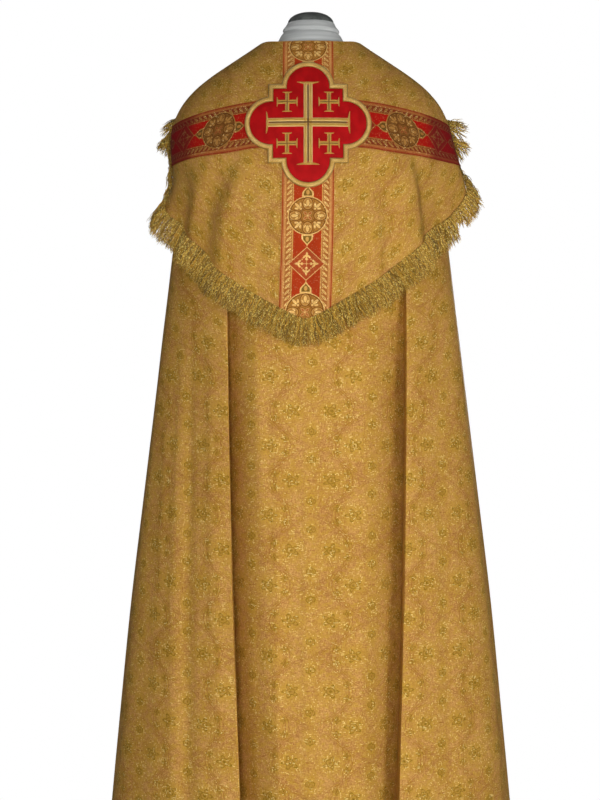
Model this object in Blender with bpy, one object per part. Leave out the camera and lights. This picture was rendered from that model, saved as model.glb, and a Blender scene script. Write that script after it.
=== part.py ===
"""Cope vestment on a limbless dress form.

The cope hangs with its back towards -Y, and the wearer would look along +Y.
Metres, +Z up, the origin on the floor under the middle of the stand.
Azimuths are in degrees round the Z axis, 0 at the centre back and growing towards +X.
"""

import math
from typing import NamedTuple

import bpy
import numpy as np
from mathutils import Vector

# Driving sizes of the cope body
HEM_HEIGHT = 0.035
CLOTH_WALL = 0.002
FRONT_HALF_GAP_TOP = 0.007
FRONT_HALF_GAP_HEM = 0.045
FRONT_GAP_OPENS_BELOW = 1.35

# Driving sizes of the hood and what is sewn on it
HOOD_WALL = 0.002
SEAM_GAP = 0.0004
HOOD_FIRST_RISE = 0.0014
HOOD_STANDOFF = 0.0075
HOOD_FRONT_END = 114.0
BAND_WIDTH = 0.0925
BAND_WALL = 0.0011
BAND_TOP_INSET = 0.001
BAND_END_CLEARANCE = 0.006
SIDE_BAND_CLEARANCE = 0.012
SIDE_BAND_LAST_AZIMUTH = 81.0
LAYER_GAP = 0.0010
SIDE_BAND_STEP = 0.0009
EMBLEM_GAP = 0.0010
EMBLEM_CENTRE_X = -0.0058
EMBLEM_CENTRE_Z = 1.3550
EMBLEM_STRETCH = 1.052
EMBLEM_SQUARE_HALF = 0.0622
EMBLEM_LOBE_RADIUS = 0.0384
EMBLEM_LOBE_CENTRE = 0.0656
EMBLEM_BORDER_WIDTH = 0.0090
EMBLEM_WALL = 0.0024
BORDER_WALL = 0.0036
CROSS_GAP = 0.0004
CROSS_WALL = 0.0016

# Driving sizes of the fringe; it stands out in a tuft round the shoulders
FRINGE_DROP = 0.043
FRINGE_LOCKS = 124
FRINGE_ROOT_SHARE = 0.60
FRINGE_HANG = 0.30
FRINGE_OUTWARD = 0.08
TUFT_HEIGHT = 1.365
TUFT_REACH = 0.035
TUFT_OUTWARD = 0.70
STRIP_ABOVE_EDGE = 0.004
STRIP_BELOW_EDGE = 0.003
STRIP_WALL = 0.0024
STRIP_GAP = 0.0020

# Driving sizes of the dress form and its stand
SEAT_GAP = 0.0020
BASE_RADIUS = 0.19
BASE_HEIGHT = 0.014
POLE_RADIUS = 0.016
PART_GAP = 0.0003


class Section(NamedTuple):
    """Plan section of the hanging cope, without its folds."""

    height: float
    half_width: float
    back: float
    front: float
    squareness: float


SECTIONS = [
    Section(1.530, 0.086, 0.0740, 0.078, 2.00),
    Section(1.520, 0.1005, 0.0785, 0.083, 2.00),
    Section(1.505, 0.1205, 0.0870, 0.089, 2.00),
    Section(1.485, 0.1495, 0.0975, 0.096, 2.05),
    Section(1.462, 0.1820, 0.1090, 0.102, 2.10),
    Section(1.440, 0.2080, 0.1205, 0.108, 2.15),
    Section(1.415, 0.2290, 0.1330, 0.116, 2.20),
    Section(1.385, 0.2440, 0.1470, 0.125, 2.20),
    Section(1.345, 0.2500, 0.1620, 0.136, 2.25),
    Section(1.300, 0.2470, 0.1740, 0.147, 2.30),
    Section(1.240, 0.2460, 0.1830, 0.156, 2.30),
    Section(1.125, 0.2590, 0.1950, 0.167, 2.30),
    Section(0.863, 0.2900, 0.2130, 0.186, 2.30),
    Section(0.676, 0.3125, 0.2260, 0.202, 2.30),
    Section(0.488, 0.3350, 0.2410, 0.220, 2.30),
    Section(0.301, 0.3535, 0.2560, 0.238, 2.30),
    Section(0.116, 0.3710, 0.2720, 0.256, 2.30),
    Section(0.035, 0.3780, 0.2790, 0.264, 2.30),
]


class Fold(NamedTuple):
    """One hanging fold: a trough with a quick edge on one side and a soft run on the other."""

    name: str
    azimuth: float
    azimuth_at_hem: float
    depth: float
    edge_side: int
    edge_width: float
    run: float
    lip: float
    starts_at: float
    deeper_at_hem: float = 0.0


FOLD_LEVEL = 0.863
FOLD_GROWTH = 0.42
FOLDS = [
    Fold("front_left_inner", -150.0, -150.0, 0.050, -1, 6.0, 14.0, 0.0, 1.20),
    Fold("front_left_outer", -127.0, -128.0, 0.055, 1, 6.0, 15.0, 0.0, 1.20),
    Fold("side_left", -104.0, -104.0, 0.050, 1, 5.0, 12.0, 0.004, 1.18),
    Fold("back_left_soft", -54.0, -42.0, 0.006, -1, 6.0, 9.0, 0.0, 1.10),
    Fold("back_left", -34.8, -21.3, 0.052, -1, 2.6, 17.0, 0.003, 1.24, 0.014),
    Fold("back_centre_soft", -12.0, -9.0, 0.007, 1, 9.0, 8.0, 0.0, 0.80),
    Fold("back_right", 39.8, 26.5, 0.050, 1, 2.6, 20.0, 0.002, 1.24, 0.011),
    Fold("side_right", 104.0, 104.0, 0.050, -1, 5.0, 12.0, 0.004, 1.18),
    Fold("front_right_outer", 127.0, 128.0, 0.055, -1, 6.0, 15.0, 0.0, 1.20),
    Fold("front_right_inner", 150.0, 150.0, 0.050, 1, 6.0, 14.0, 0.0, 1.20),
]


class Neckline(NamedTuple):
    azimuth: float
    height: float


NECKLINE = [
    Neckline(0.0, 1.519),
    Neckline(40.0, 1.5205),
    Neckline(65.0, 1.5250),
    Neckline(90.0, 1.5225),
    Neckline(115.0, 1.5040),
    Neckline(140.0, 1.4780),
    Neckline(180.0, 1.4560),
]


class HoodEdge(NamedTuple):
    azimuth: float
    height: float


HOOD_EDGE = [
    HoodEdge(-114.0, 1.440),
    HoodEdge(-104.0, 1.412),
    HoodEdge(-95.0, 1.366),
    HoodEdge(-88.0, 1.300),
    HoodEdge(-82.0, 1.240),
    HoodEdge(-75.0, 1.206),
    HoodEdge(-65.0, 1.168),
    HoodEdge(-56.0, 1.138),
    HoodEdge(-46.0, 1.100),
    HoodEdge(-33.0, 1.060),
    HoodEdge(-22.0, 1.034),
    HoodEdge(-11.0, 1.012),
    HoodEdge(-3.0, 1.000),
    HoodEdge(5.0, 1.011),
    HoodEdge(11.0, 1.024),
    HoodEdge(23.0, 1.051),
    HoodEdge(38.0, 1.090),
    HoodEdge(50.0, 1.133),
    HoodEdge(62.0, 1.168),
    HoodEdge(72.0, 1.198),
    HoodEdge(79.0, 1.240),
    HoodEdge(85.0, 1.298),
    HoodEdge(90.0, 1.346),
    HoodEdge(96.0, 1.392),
    HoodEdge(104.0, 1.424),
    HoodEdge(114.0, 1.446),
]


class HoodDent(NamedTuple):
    """A soft trough in the hood, or a corner's outward flare where depth is negative."""

    azimuth: float
    width: float
    depth: float
    high: float
    low: float


HOOD_DENTS = [
    HoodDent(41.0, 6.0, 0.005, 1.31, 1.17),
    HoodDent(57.0, 6.0, 0.007, 1.28, 1.14),
    HoodDent(-41.0, 7.0, 0.004, 1.31, 1.18),
]
HOOD_CORNERS = [
    HoodDent(-80.0, 15.0, -0.030, 1.300, 1.170),
    HoodDent(80.0, 15.0, -0.036, 1.370, 1.228),
]


class BandAxis(NamedTuple):
    height: float
    x: float


BAND_AXIS = [BandAxis(1.52, -0.0065), BandAxis(1.00, -0.0110)]


class BandLevel(NamedTuple):
    """Upper and lower line of the crossing orphreys."""

    azimuth: float
    upper: float
    lower: float


BAND_LEVELS = [
    BandLevel(0.0, 1.4015, 1.3125),
    BandLevel(30.0, 1.3995, 1.3085),
    BandLevel(45.0, 1.3930, 1.3020),
    BandLevel(58.0, 1.3845, 1.2995),
    BandLevel(75.0, 1.3720, 1.2955),
    BandLevel(92.0, 1.3650, 1.2930),
]


class FormSection(NamedTuple):
    height: float
    half_width: float
    back: float
    front: float


FORM_SECTIONS = [
    FormSection(1.566, 0.0445, 0.0430, 0.0430),
    FormSection(1.552, 0.0510, 0.0490, 0.0490),
    FormSection(1.535, 0.0600, 0.0560, 0.0570),
    FormSection(1.520, 0.0660, 0.0600, 0.0610),
    FormSection(1.508, 0.0840, 0.0700, 0.0720),
    FormSection(1.495, 0.1300, 0.0900, 0.0960),
    FormSection(1.470, 0.1900, 0.1150, 0.1150),
    FormSection(1.440, 0.2300, 0.1300, 0.1220),
    FormSection(1.400, 0.2250, 0.1290, 0.1200),
    FormSection(1.360, 0.2040, 0.1270, 0.1200),
    FormSection(1.300, 0.1820, 0.1240, 0.1230),
    FormSection(1.200, 0.1580, 0.1130, 0.1220),
    FormSection(1.080, 0.1300, 0.0980, 0.1020),
    FormSection(0.980, 0.1480, 0.1080, 0.1060),
    FormSection(0.880, 0.1640, 0.1200, 0.1100),
    FormSection(0.800, 0.1600, 0.1160, 0.1080),
]

FORM_EXTRA_HEIGHTS = [1.515, 1.5, 1.4825, 1.455, 1.425]
FORM_SIDES = 40
FORM_SQUARENESS = 2.1
CAP_RISE = 0.021
CAP_INSET = 0.001
CAP_STEPS = 6
BASE_ROUNDING = 0.006

BODY_WIDEST_STEP = 7.5
BODY_CLOSEST_STEP = 0.9
BODY_ROWS = [0, 0.010, 0.024, 0.041, 0.062, 0.090, 0.130, 0.190, 0.262, 0.345, 0.45,
             0.58, 0.72, 0.86, 1.0]
HOOD_ROW_COUNT = 12
HOOD_TURN_STARTS = 42.0
HOOD_BACK_STEP = 6.5
HOOD_TURN_STEP = 3.8


class SmoothTable:
    """Reads a table by its first column, on a smooth curve through its rows."""

    def __init__(self, rows):
        table = np.array(sorted(tuple(row) for row in rows), float)
        self.keys = table[:, 0]
        self.values = table[:, 1:]
        self.slopes = np.gradient(self.values, self.keys, axis=0)

    def __call__(self, key):
        key = min(max(key, self.keys[0]), self.keys[-1])
        low = min(int(np.searchsorted(self.keys, key, side="right")) - 1, len(self.keys) - 2)
        span = self.keys[low + 1] - self.keys[low]
        t = (key - self.keys[low]) / span
        rise = t * t * (3 - 2 * t)
        start_pull = t * (1 - t) ** 2 * span
        end_pull = t * t * (1 - t) * span
        blend = self.values[low] * (1 - rise) + self.values[low + 1] * rise
        return blend + self.slopes[low] * start_pull - self.slopes[low + 1] * end_pull


section_at = SmoothTable(SECTIONS)
neckline_at = SmoothTable([Neckline(-row.azimuth, row.height) for row in NECKLINE[1:]] + NECKLINE)
hood_edge_at = SmoothTable(HOOD_EDGE)
band_axis_at = SmoothTable(BAND_AXIS)
band_level_at = SmoothTable(
    [BandLevel(-row.azimuth, row.upper, row.lower) for row in BAND_LEVELS[1:]] + BAND_LEVELS
)
form_section_at = SmoothTable(FORM_SECTIONS)


def smoothstep(value):
    t = min(max(value, 0.0), 1.0)
    return t * t * (3 - 2 * t)


def superellipse(azimuth, half_width, depth, squareness):
    across = abs(math.sin(math.radians(azimuth))) / half_width
    along = abs(math.cos(math.radians(azimuth))) / depth
    return (across**squareness + along**squareness) ** (-1 / squareness)


def cloth_radius(azimuth, height):
    """Outer face of the cope body without its folds."""
    half_width, back, front, squareness = section_at(height)
    depth = back if abs(azimuth) < 90 else front
    return superellipse(azimuth, half_width, depth, squareness)


def square_share(azimuth, height):
    """Radial distance for one unit of distance square to the cloth."""
    step = 0.002
    steepness = (cloth_radius(azimuth, height + step) - cloth_radius(azimuth, height - step)) / (2 * step)
    turning = (cloth_radius(azimuth + 1, height) - cloth_radius(azimuth - 1, height)) / math.radians(2)
    sideways = turning / cloth_radius(azimuth, height)
    return math.sqrt(1 + steepness**2 + sideways**2)


def polar_point(azimuth, radius, height):
    angle = math.radians(azimuth)
    return Vector((radius * math.sin(angle), -radius * math.cos(angle), height))


# Cope body


def fold_azimuth(fold, height):
    level = min(height, fold.starts_at)
    share = (FOLD_LEVEL - level) / (FOLD_LEVEL - HEM_HEIGHT)
    return fold.azimuth + (fold.azimuth_at_hem - fold.azimuth) * share


def front_end_azimuth(height):
    opened = smoothstep((FRONT_GAP_OPENS_BELOW - height) / (FRONT_GAP_OPENS_BELOW - HEM_HEIGHT))
    half_gap = FRONT_HALF_GAP_TOP + (FRONT_HALF_GAP_HEM - FRONT_HALF_GAP_TOP) * opened
    return 180 - math.degrees(math.asin(half_gap / cloth_radius(180, height)))


def column_azimuth(column, height):
    """Columns follow the folds down the cope: a column is the azimuth it has at FOLD_LEVEL."""
    end = front_end_azimuth(height)
    names = [-180.0] + [fold.azimuth for fold in FOLDS] + [180.0]
    places = [-end] + [fold_azimuth(fold, height) for fold in FOLDS] + [end]
    return float(np.interp(column, names, places))


def fold_offset(fold, column, height):
    strength = smoothstep((fold.starts_at - height) / FOLD_GROWTH)
    lower = min(max((FOLD_LEVEL - height) / (FOLD_LEVEL - HEM_HEIGHT), 0.0), 1.0)
    depth = fold.depth + fold.deeper_at_hem * lower
    across = (column - fold.azimuth) * fold.edge_side
    if across <= 0:
        return -depth * strength * (1 - smoothstep(-across / fold.run))
    rise = smoothstep(across / fold.edge_width)
    lip = fold.lip * rise * (1 - smoothstep((across - fold.edge_width) / fold.run))
    return strength * (lip - depth * (1 - rise))


def body_columns():
    """Exact columns at each fold's edge, trough and run, filled up between them."""
    marks = {-180.0, 180.0}
    for fold in FOLDS:
        for share in (-1.0, -0.6, -0.3, 0.0):
            marks.add(fold.azimuth + share * fold.run * fold.edge_side)
        marks.add(fold.azimuth + 0.5 * fold.edge_width * fold.edge_side)
        marks.add(fold.azimuth + fold.edge_width * fold.edge_side)
        marks.add(fold.azimuth + 2.2 * fold.edge_width * fold.edge_side)
    marks = sorted(marks)
    kept = [marks[0]]
    for mark in marks[1:]:
        if mark - kept[-1] >= BODY_CLOSEST_STEP:
            kept.append(mark)
    kept[-1] = 180.0
    columns = []
    for low, high in zip(kept, kept[1:]):
        pieces = math.ceil((high - low) / BODY_WIDEST_STEP)
        columns += [low + (high - low) * piece / pieces for piece in range(pieces)]
    return columns + [180.0]


def body_point(column, height):
    azimuth = column_azimuth(column, height)
    radius = cloth_radius(azimuth, height)
    radius += sum(fold_offset(fold, column, height) for fold in FOLDS)
    return polar_point(azimuth, radius, height)


def body_grid():
    rows = []
    for share in BODY_ROWS:
        row = []
        for column in body_columns():
            top = float(neckline_at(column_azimuth(column, NECKLINE[0].height))[0])
            row.append(body_point(column, top + (HEM_HEIGHT - top) * share))
        rows.append(row)
    return rows


# Hood


def dent_strength(dent, azimuth, height):
    across = 1 - smoothstep(abs(azimuth - dent.azimuth) / dent.width)
    return across * smoothstep((dent.high - height) / (dent.high - dent.low))


def hood_radius(azimuth, height):
    """Outer face of the hood: sewn down at the neckline, standing off the cope below it."""
    below_neck = float(neckline_at(azimuth)[0]) - height
    sewn = SEAM_GAP + HOOD_WALL + HOOD_FIRST_RISE * smoothstep(below_neck / 0.022)
    lift = sewn * square_share(azimuth, height)
    lift += HOOD_STANDOFF * smoothstep(below_neck / 0.20)
    for dent in HOOD_DENTS + HOOD_CORNERS:
        lift -= dent.depth * dent_strength(dent, azimuth, height)
    return cloth_radius(azimuth, height) + lift


def hood_point(azimuth, height, lift=0.0):
    radius = hood_radius(azimuth, height) + lift * square_share(azimuth, height)
    return polar_point(azimuth, radius, height)


def hood_columns():
    """Closer together round the shoulders, where the hood turns and flares."""
    marks = [0.0, HOOD_TURN_STARTS, HOOD_FRONT_END]
    steps = [HOOD_BACK_STEP, HOOD_TURN_STEP]
    half = [0.0]
    for low, high, step in zip(marks, marks[1:], steps):
        pieces = math.ceil((high - low) / step)
        half += [low + (high - low) * (piece + 1) / pieces for piece in range(pieces)]
    return [-azimuth for azimuth in reversed(half[1:])] + half


def hood_grid():
    rows = []
    for row in range(HOOD_ROW_COUNT + 1):
        share = (row / HOOD_ROW_COUNT) ** 1.2
        points = []
        for azimuth in hood_columns():
            top = float(neckline_at(azimuth)[0])
            bottom = float(hood_edge_at(azimuth)[0])
            points.append(hood_point(azimuth, top + (bottom - top) * share))
        rows.append(points)
    return rows


def azimuth_at(x, height, lift=0.0):
    """Azimuth of a layer on the hood at a distance x to the side of the centre plane."""
    azimuth = 0.0
    for _ in range(12):
        radius = hood_radius(azimuth, height) + lift * square_share(azimuth, height)
        azimuth = math.degrees(math.asin(x / radius))
    return azimuth


def hood_face(x, height, lift):
    return hood_point(azimuth_at(x, height, lift), height, lift)


def emblem_face(x, z, lift):
    """A place on the emblem, measured from its middle; it is a little taller than wide."""
    return hood_face(EMBLEM_CENTRE_X + x, EMBLEM_CENTRE_Z + z * EMBLEM_STRETCH, lift)


# Meshes


def new_object(name, points, faces, material):
    mesh = bpy.data.meshes.new(name)
    mesh.from_pydata([tuple(point) for point in points], [], faces)
    mesh.validate()
    mesh.materials.append(material)
    mesh.shade_smooth()
    mesh.set_sharp_from_angle(angle=math.radians(50))
    piece = bpy.data.objects.new(name, mesh)
    bpy.context.scene.collection.objects.link(piece)
    return piece


def grid_normals(rows):
    """Outward unit normals of a grid whose rows run down and whose columns run towards +azimuth."""
    points = np.array([[tuple(point) for point in row] for row in rows])
    down = np.gradient(points, axis=0)
    along = np.gradient(points, axis=1)
    normals = np.cross(down, along)
    return normals / np.linalg.norm(normals, axis=2, keepdims=True)


def sheet_object(name, rows, wall, material):
    """A closed wall with the grid as its outer face."""
    outer = np.array([[tuple(point) for point in row] for row in rows])
    inner = outer - grid_normals(rows) * wall
    row_count, column_count = outer.shape[:2]
    inner_start = row_count * column_count

    def corner(row, column, face):
        return face * inner_start + row * column_count + column

    faces = []
    for row in range(row_count - 1):
        for column in range(column_count - 1):
            square = [(row, column), (row + 1, column), (row + 1, column + 1), (row, column + 1)]
            faces.append([corner(r, c, 0) for r, c in square])
            faces.append([corner(r, c, 1) for r, c in reversed(square)])
    border = [(0, column) for column in range(column_count - 1, 0, -1)]
    border += [(row, 0) for row in range(row_count - 1)]
    border += [(row_count - 1, column) for column in range(column_count - 1)]
    border += [(row, column_count - 1) for row in range(row_count - 1, 0, -1)]
    for here, there in zip(border, border[1:] + border[:1]):
        faces.append([corner(*there, 0), corner(*here, 0), corner(*here, 1), corner(*there, 1)])
    points = np.concatenate([outer.reshape(-1, 3), inner.reshape(-1, 3)])
    return new_object(name, points, faces, material)


def raised_cells(name, xs, zs, holds, offset, lifts, material):
    """A raised figure made of the cells between xs and zs for which holds(x, z) is true."""
    low, high = lifts
    cells = set()
    for i in range(len(xs) - 1):
        for j in range(len(zs) - 1):
            if holds((xs[i] + xs[i + 1]) / 2, (zs[j] + zs[j + 1]) / 2):
                cells.add((i, j))
    points = []
    numbers = {}

    def corner(i, j, face):
        if (i, j, face) not in numbers:
            numbers[i, j, face] = len(points)
            lift = high if face == 0 else low
            points.append(emblem_face(offset[0] + xs[i], offset[1] + zs[j], lift))
        return numbers[i, j, face]

    faces = []
    for i, j in sorted(cells):
        ring = [(i, j), (i + 1, j), (i + 1, j + 1), (i, j + 1)]
        faces.append([corner(*place, 0) for place in ring])
        faces.append([corner(*place, 1) for place in reversed(ring)])
        neighbours = [(i, j - 1), (i + 1, j), (i, j + 1), (i - 1, j)]
        for side, neighbour in enumerate(neighbours):
            if neighbour not in cells:
                here, there = ring[side], ring[(side + 1) % 4]
                faces.append([corner(*there, 0), corner(*here, 0), corner(*here, 1), corner(*there, 1)])
    return new_object(name, points, faces, material)


def turned_object(name, profile, sides, material):
    """A round solid from (radius, height) steps, bottom to top, with flat ends."""
    points = []
    for radius, height in profile:
        for side in range(sides):
            points.append(polar_point(360 * side / sides, radius, height))
    faces = [list(range(sides))[::-1]]
    for step in range(len(profile) - 1):
        for side in range(sides):
            across = (side + 1) % sides
            low, high = step * sides, (step + 1) * sides
            faces.append([low + side, low + across, high + across, high + side])
    last = (len(profile) - 1) * sides
    faces.append([last + side for side in range(sides)])
    return new_object(name, points, faces, material)


# Pieces of the cope


def make_cope_body(material):
    return sheet_object("cope_body", body_grid(), CLOTH_WALL, material)


def make_hood(material):
    return sheet_object("hood", hood_grid(), HOOD_WALL, material)


BAND_LIFT = LAYER_GAP + BAND_WALL
SIDE_BAND_LIFT = BAND_LIFT + SIDE_BAND_STEP
EMBLEM_LIFT = SIDE_BAND_LIFT + EMBLEM_GAP


def make_orphrey_vertical(material):
    """The orphrey down the middle of the hood, from the neckline to just above the point."""
    row_count = 21
    column_count = 4
    top = neckline_at(0)[0] - BAND_TOP_INSET
    rows = []
    for row in range(row_count + 1):
        points = []
        for column in range(column_count + 1):
            across = BAND_WIDTH * (column / column_count - 0.5)
            x = float(band_axis_at(top)[0]) + across
            azimuth = azimuth_at(x, 1.02)
            bottom = float(hood_edge_at(azimuth)[0]) + STRIP_ABOVE_EDGE + BAND_END_CLEARANCE
            height = top + (bottom - top) * row / row_count
            x = float(band_axis_at(height)[0]) + across
            points.append(hood_face(x, height, BAND_LIFT))
        rows.append(points)
    return sheet_object("orphrey_vertical", rows, BAND_WALL, material)


def side_orphrey_end(side):
    """Azimuth where the fringe strip on the hood's rising edge meets the orphrey's lower line."""
    azimuth = 60.0
    while azimuth < SIDE_BAND_LAST_AZIMUTH:
        if hood_edge_at(side * azimuth)[0] > band_level_at(azimuth)[1] - SIDE_BAND_CLEARANCE:
            break
        azimuth += 0.5
    return side * azimuth


def make_orphrey_side(name, side, material):
    """A crossing orphrey, from the vertical one round to the hood's side edge."""
    row_count = 5
    middle = band_level_at(0).mean()
    seam = side * (BAND_WIDTH / 2 + PART_GAP * 2)
    start = azimuth_at(float(band_axis_at(middle)[0]) + seam, middle)
    end = side_orphrey_end(side)
    on_hood = [a for a in hood_columns() if abs(start) + 3 < a * side < abs(end) - 1.5]
    columns = sorted([start, end] + on_hood)
    rows = []
    for row in range(row_count + 1):
        points = []
        for azimuth in columns:
            upper, lower = band_level_at(azimuth)
            height = float(upper + (lower - upper) * row / row_count)
            if azimuth == start:
                azimuth = azimuth_at(float(band_axis_at(height)[0]) + seam, height, SIDE_BAND_LIFT)
            points.append(hood_point(azimuth, height, SIDE_BAND_LIFT))
        rows.append(points)
    return sheet_object(name, rows, BAND_WALL, material)


def emblem_outline(grow):
    """Four round lobes on a square, as (x, z) points about the middle, anticlockwise from +X."""
    half = EMBLEM_SQUARE_HALF + grow
    radius = EMBLEM_LOBE_RADIUS + grow
    arc_end = math.acos((half - EMBLEM_LOBE_CENTRE) / radius)
    arc_steps = 5
    arc = [arc_end * step / arc_steps for step in range(arc_steps + 1)]
    eighth = [(EMBLEM_LOBE_CENTRE + radius * math.cos(a), radius * math.sin(a)) for a in arc]
    quarter = eighth + [(half, half)] + [(z, x) for x, z in reversed(eighth)][:-1]
    outline = []
    for _ in range(4):
        outline += quarter
        quarter = [(-z, x) for x, z in quarter]
    return outline


def ring_solid(name, rings, lifts, closed_middle, material):
    """A flat piece between nested outlines, raised between two lifts off the hood."""
    low, high = lifts
    count = len(rings[0])
    points = []
    for lift in (high, low):
        for ring in rings:
            points += [emblem_face(x, z, lift) for x, z in ring]
    under = len(rings) * count
    faces = []
    for step in range(len(rings) - 1):
        for place in range(count):
            after = (place + 1) % count
            near, far = step * count, (step + 1) * count
            face = [near + place, far + place, far + after, near + after]
            faces.append(face)
            faces.append([under + index for index in reversed(face)])
    last = (len(rings) - 1) * count
    for place in range(count):
        after = (place + 1) % count
        faces.append([last + after, last + place, under + last + place, under + last + after])
        if not closed_middle:
            faces.append([place, after, under + after, under + place])
    if closed_middle:
        middle = len(points)
        for lift in (high, low):
            points.append(emblem_face(0, 0, lift))
        for place in range(count):
            after = (place + 1) % count
            faces.append([middle, place, after])
            faces.append([middle + 1, under + after, under + place])
    return new_object(name, points, faces, material)


def make_emblem_ground(material):
    edge = emblem_outline(-PART_GAP)
    rings = [[(x * share, z * share) for x, z in edge] for share in (0.36, 0.68, 1.0)]
    lifts = (EMBLEM_LIFT, EMBLEM_LIFT + EMBLEM_WALL)
    return ring_solid("emblem_ground", rings, lifts, True, material)


def make_emblem_border(material):
    rings = [emblem_outline(0.0), emblem_outline(EMBLEM_BORDER_WIDTH)]
    lifts = (EMBLEM_LIFT, EMBLEM_LIFT + BORDER_WALL)
    return ring_solid("emblem_border", rings, lifts, False, material)


class CrossSize(NamedTuple):
    """A cross with a crutch across each end of its arms."""

    reach: float
    arm_half: float
    crutch_half: float
    crutch_wall: float


LARGE_CROSS = CrossSize(0.0748, 0.0085, 0.0230, 0.0050)
SMALL_CROSS = CrossSize(0.0190, 0.0026, 0.0085, 0.0032)
SMALL_CROSS_OFFSET = 0.0372


def make_cross(name, size, offset, material):
    inner = size.reach - size.crutch_wall
    marks = [size.arm_half, size.crutch_half, inner, size.reach]
    longest_cell = 0.026
    half_marks = [marks[0]]
    for mark in marks[1:]:
        pieces = math.ceil((mark - half_marks[-1]) / longest_cell)
        start = half_marks[-1]
        half_marks += [start + (mark - start) * (piece + 1) / pieces for piece in range(pieces)]
    xs = [-mark for mark in reversed(half_marks)] + half_marks

    def holds(x, z):
        x, z = abs(x), abs(z)
        arms = min(x, z) < size.arm_half
        crutches = max(x, z) > inner and min(x, z) < size.crutch_half
        return arms or crutches

    low = EMBLEM_LIFT + EMBLEM_WALL + CROSS_GAP
    return raised_cells(name, xs, xs, holds, offset, (low, low + CROSS_WALL), material)


# Fringe


class EdgePlace(NamedTuple):
    point: Vector
    along: Vector
    out: Vector
    away: Vector


def edge_places(shares):
    """Places on the hood's lower edge, from one front end (0) to the other (1)."""
    grid = hood_grid()
    edge = np.array([tuple(point) for point in grid[-1]])
    lengths = np.concatenate([[0], np.cumsum(np.linalg.norm(np.diff(edge, axis=0), axis=1))])
    tangents = np.gradient(edge, lengths, axis=0)
    normals = grid_normals(grid)[-1]
    places = []
    for share in shares:
        at = share * lengths[-1]
        point, along, out = (
            Vector([np.interp(at, lengths, values[:, axis]) for axis in range(3)])
            for values in (edge, tangents, normals)
        )
        along.normalize()
        away = along.cross(out).normalized()
        places.append(EdgePlace(point, along, out.normalized(), away))
    return places


def wobble(number, pitch):
    """A steady unevenness between -1 and 1."""
    return math.sin(number * pitch) * math.cos(number * pitch * 0.37 + 1.0)


def make_hood_fringe(material):
    """Twisted locks that hang from one narrow strip along the hood's edge."""
    shares = []
    for lock in range(FRINGE_LOCKS):
        shares += [lock / FRINGE_LOCKS, (lock + FRINGE_ROOT_SHARE) / FRINGE_LOCKS]
    points = []
    places = edge_places(shares + [1.0])
    for place in places:
        lower = place.point + place.away * STRIP_BELOW_EDGE
        points.append(place.point - place.away * STRIP_ABOVE_EDGE + place.out * STRIP_GAP)
        points.append(lower + place.out * (STRIP_GAP + STRIP_WALL))
        points.append(lower + place.out * STRIP_GAP)
    faces = []
    for index in range(len(places) - 1):
        top, outer, inner = 3 * index, 3 * index + 1, 3 * index + 2
        faces.append([top, outer, outer + 3, top + 3])
        faces.append([inner, top, top + 3, inner + 3])
        if index % 2:
            faces.append([outer, inner, inner + 3, outer + 3])
    faces.append([0, 2, 1])
    last = 3 * (len(places) - 1)
    faces.append([last, last + 1, last + 2])
    for lock in range(FRINGE_LOCKS):
        first = 3 * (2 * lock)
        ring = [first + 1, first + 2, first + 5, first + 4]
        place = places[2 * lock]
        down = Vector((0, 0, -1))
        tuft = math.exp(-(((place.point.z - TUFT_HEIGHT) / TUFT_REACH) ** 2))
        outward = FRINGE_OUTWARD + TUFT_OUTWARD * tuft
        heading = place.away * (1 - FRINGE_HANG) + down * FRINGE_HANG + place.out * outward
        heading.normalize()
        heading = (heading + place.along * 0.05 * wobble(lock, 2.3)).normalized()
        length = FRINGE_DROP * (1 + 0.06 * wobble(lock, 1.7)) - STRIP_BELOW_EDGE
        middle = sum((points[index] for index in ring), Vector()) / 4
        for share, width in ((0.55, 0.92), (1.0, 0.62)):
            following = []
            for index in ring[:4] if share < 1 else root:
                offset = (points[index] - middle) * width
                following.append(len(points))
                points.append(middle + offset + heading * length * share)
            if share < 1:
                root = ring
            for side in range(4):
                after = (side + 1) % 4
                faces.append([ring[side], ring[after], following[after], following[side]])
            ring = following
        faces.append(ring)
    return new_object("hood_fringe", points, faces, material)


# Clasp on the front edges


class ClaspSize(NamedTuple):
    height: float
    width: float
    tall: float
    wall: float
    over_edge: float
    slot_inset: float
    slot_width: float
    slot_tall: float
    tongue_root: float
    tongue_tall: float
    lip_wall: float
    lip_room: float


CLASP = ClaspSize(
    height=1.402,
    width=0.030,
    tall=0.026,
    wall=0.0024,
    over_edge=0.003,
    slot_inset=0.007,
    slot_width=0.0060,
    slot_tall=0.0150,
    tongue_root=0.016,
    tongue_tall=0.0120,
    lip_wall=0.0024,
    lip_room=0.0012,
)


def clasp_frame():
    """Middle of the clasp on the front of the cope, its outward and its upward direction."""
    radius = cloth_radius(180, CLASP.height)
    above = cloth_radius(180, CLASP.height + 0.01)
    up = Vector((0, above - radius, 0.01)).normalized()
    out = Vector((0, up.z, -up.y))
    return Vector((0, radius, CLASP.height)), out, up


def clasp_solid(name, blocks, material):
    """One closed body from stacked outlines; each block is (outline, low, high) in the clasp's frame."""
    middle, out, up = clasp_frame()
    side = Vector((-1, 0, 0))
    pieces = []
    for outline, low, high in blocks:
        points = []
        for lift in (low, high):
            points += [middle + side * x + up * z + out * lift for x, z in outline]
        count = len(outline)
        faces = [list(range(count))[::-1], [count + index for index in range(count)]]
        for index in range(count):
            after = (index + 1) % count
            faces.append([index, after, count + after, count + index])
        pieces.append(new_object(name, points, faces, material))
    body = pieces[0]
    for extra in pieces[1:]:
        union = body.modifiers.new("joined", "BOOLEAN")
        union.operation = "UNION"
        union.object = extra
        extra.hide_render = True
        extra.display_type = "WIRE"
    return body


def box_outline(x_low, x_high, z_half):
    return [(x_low, -z_half), (x_high, -z_half), (x_high, z_half), (x_low, z_half)]


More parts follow.
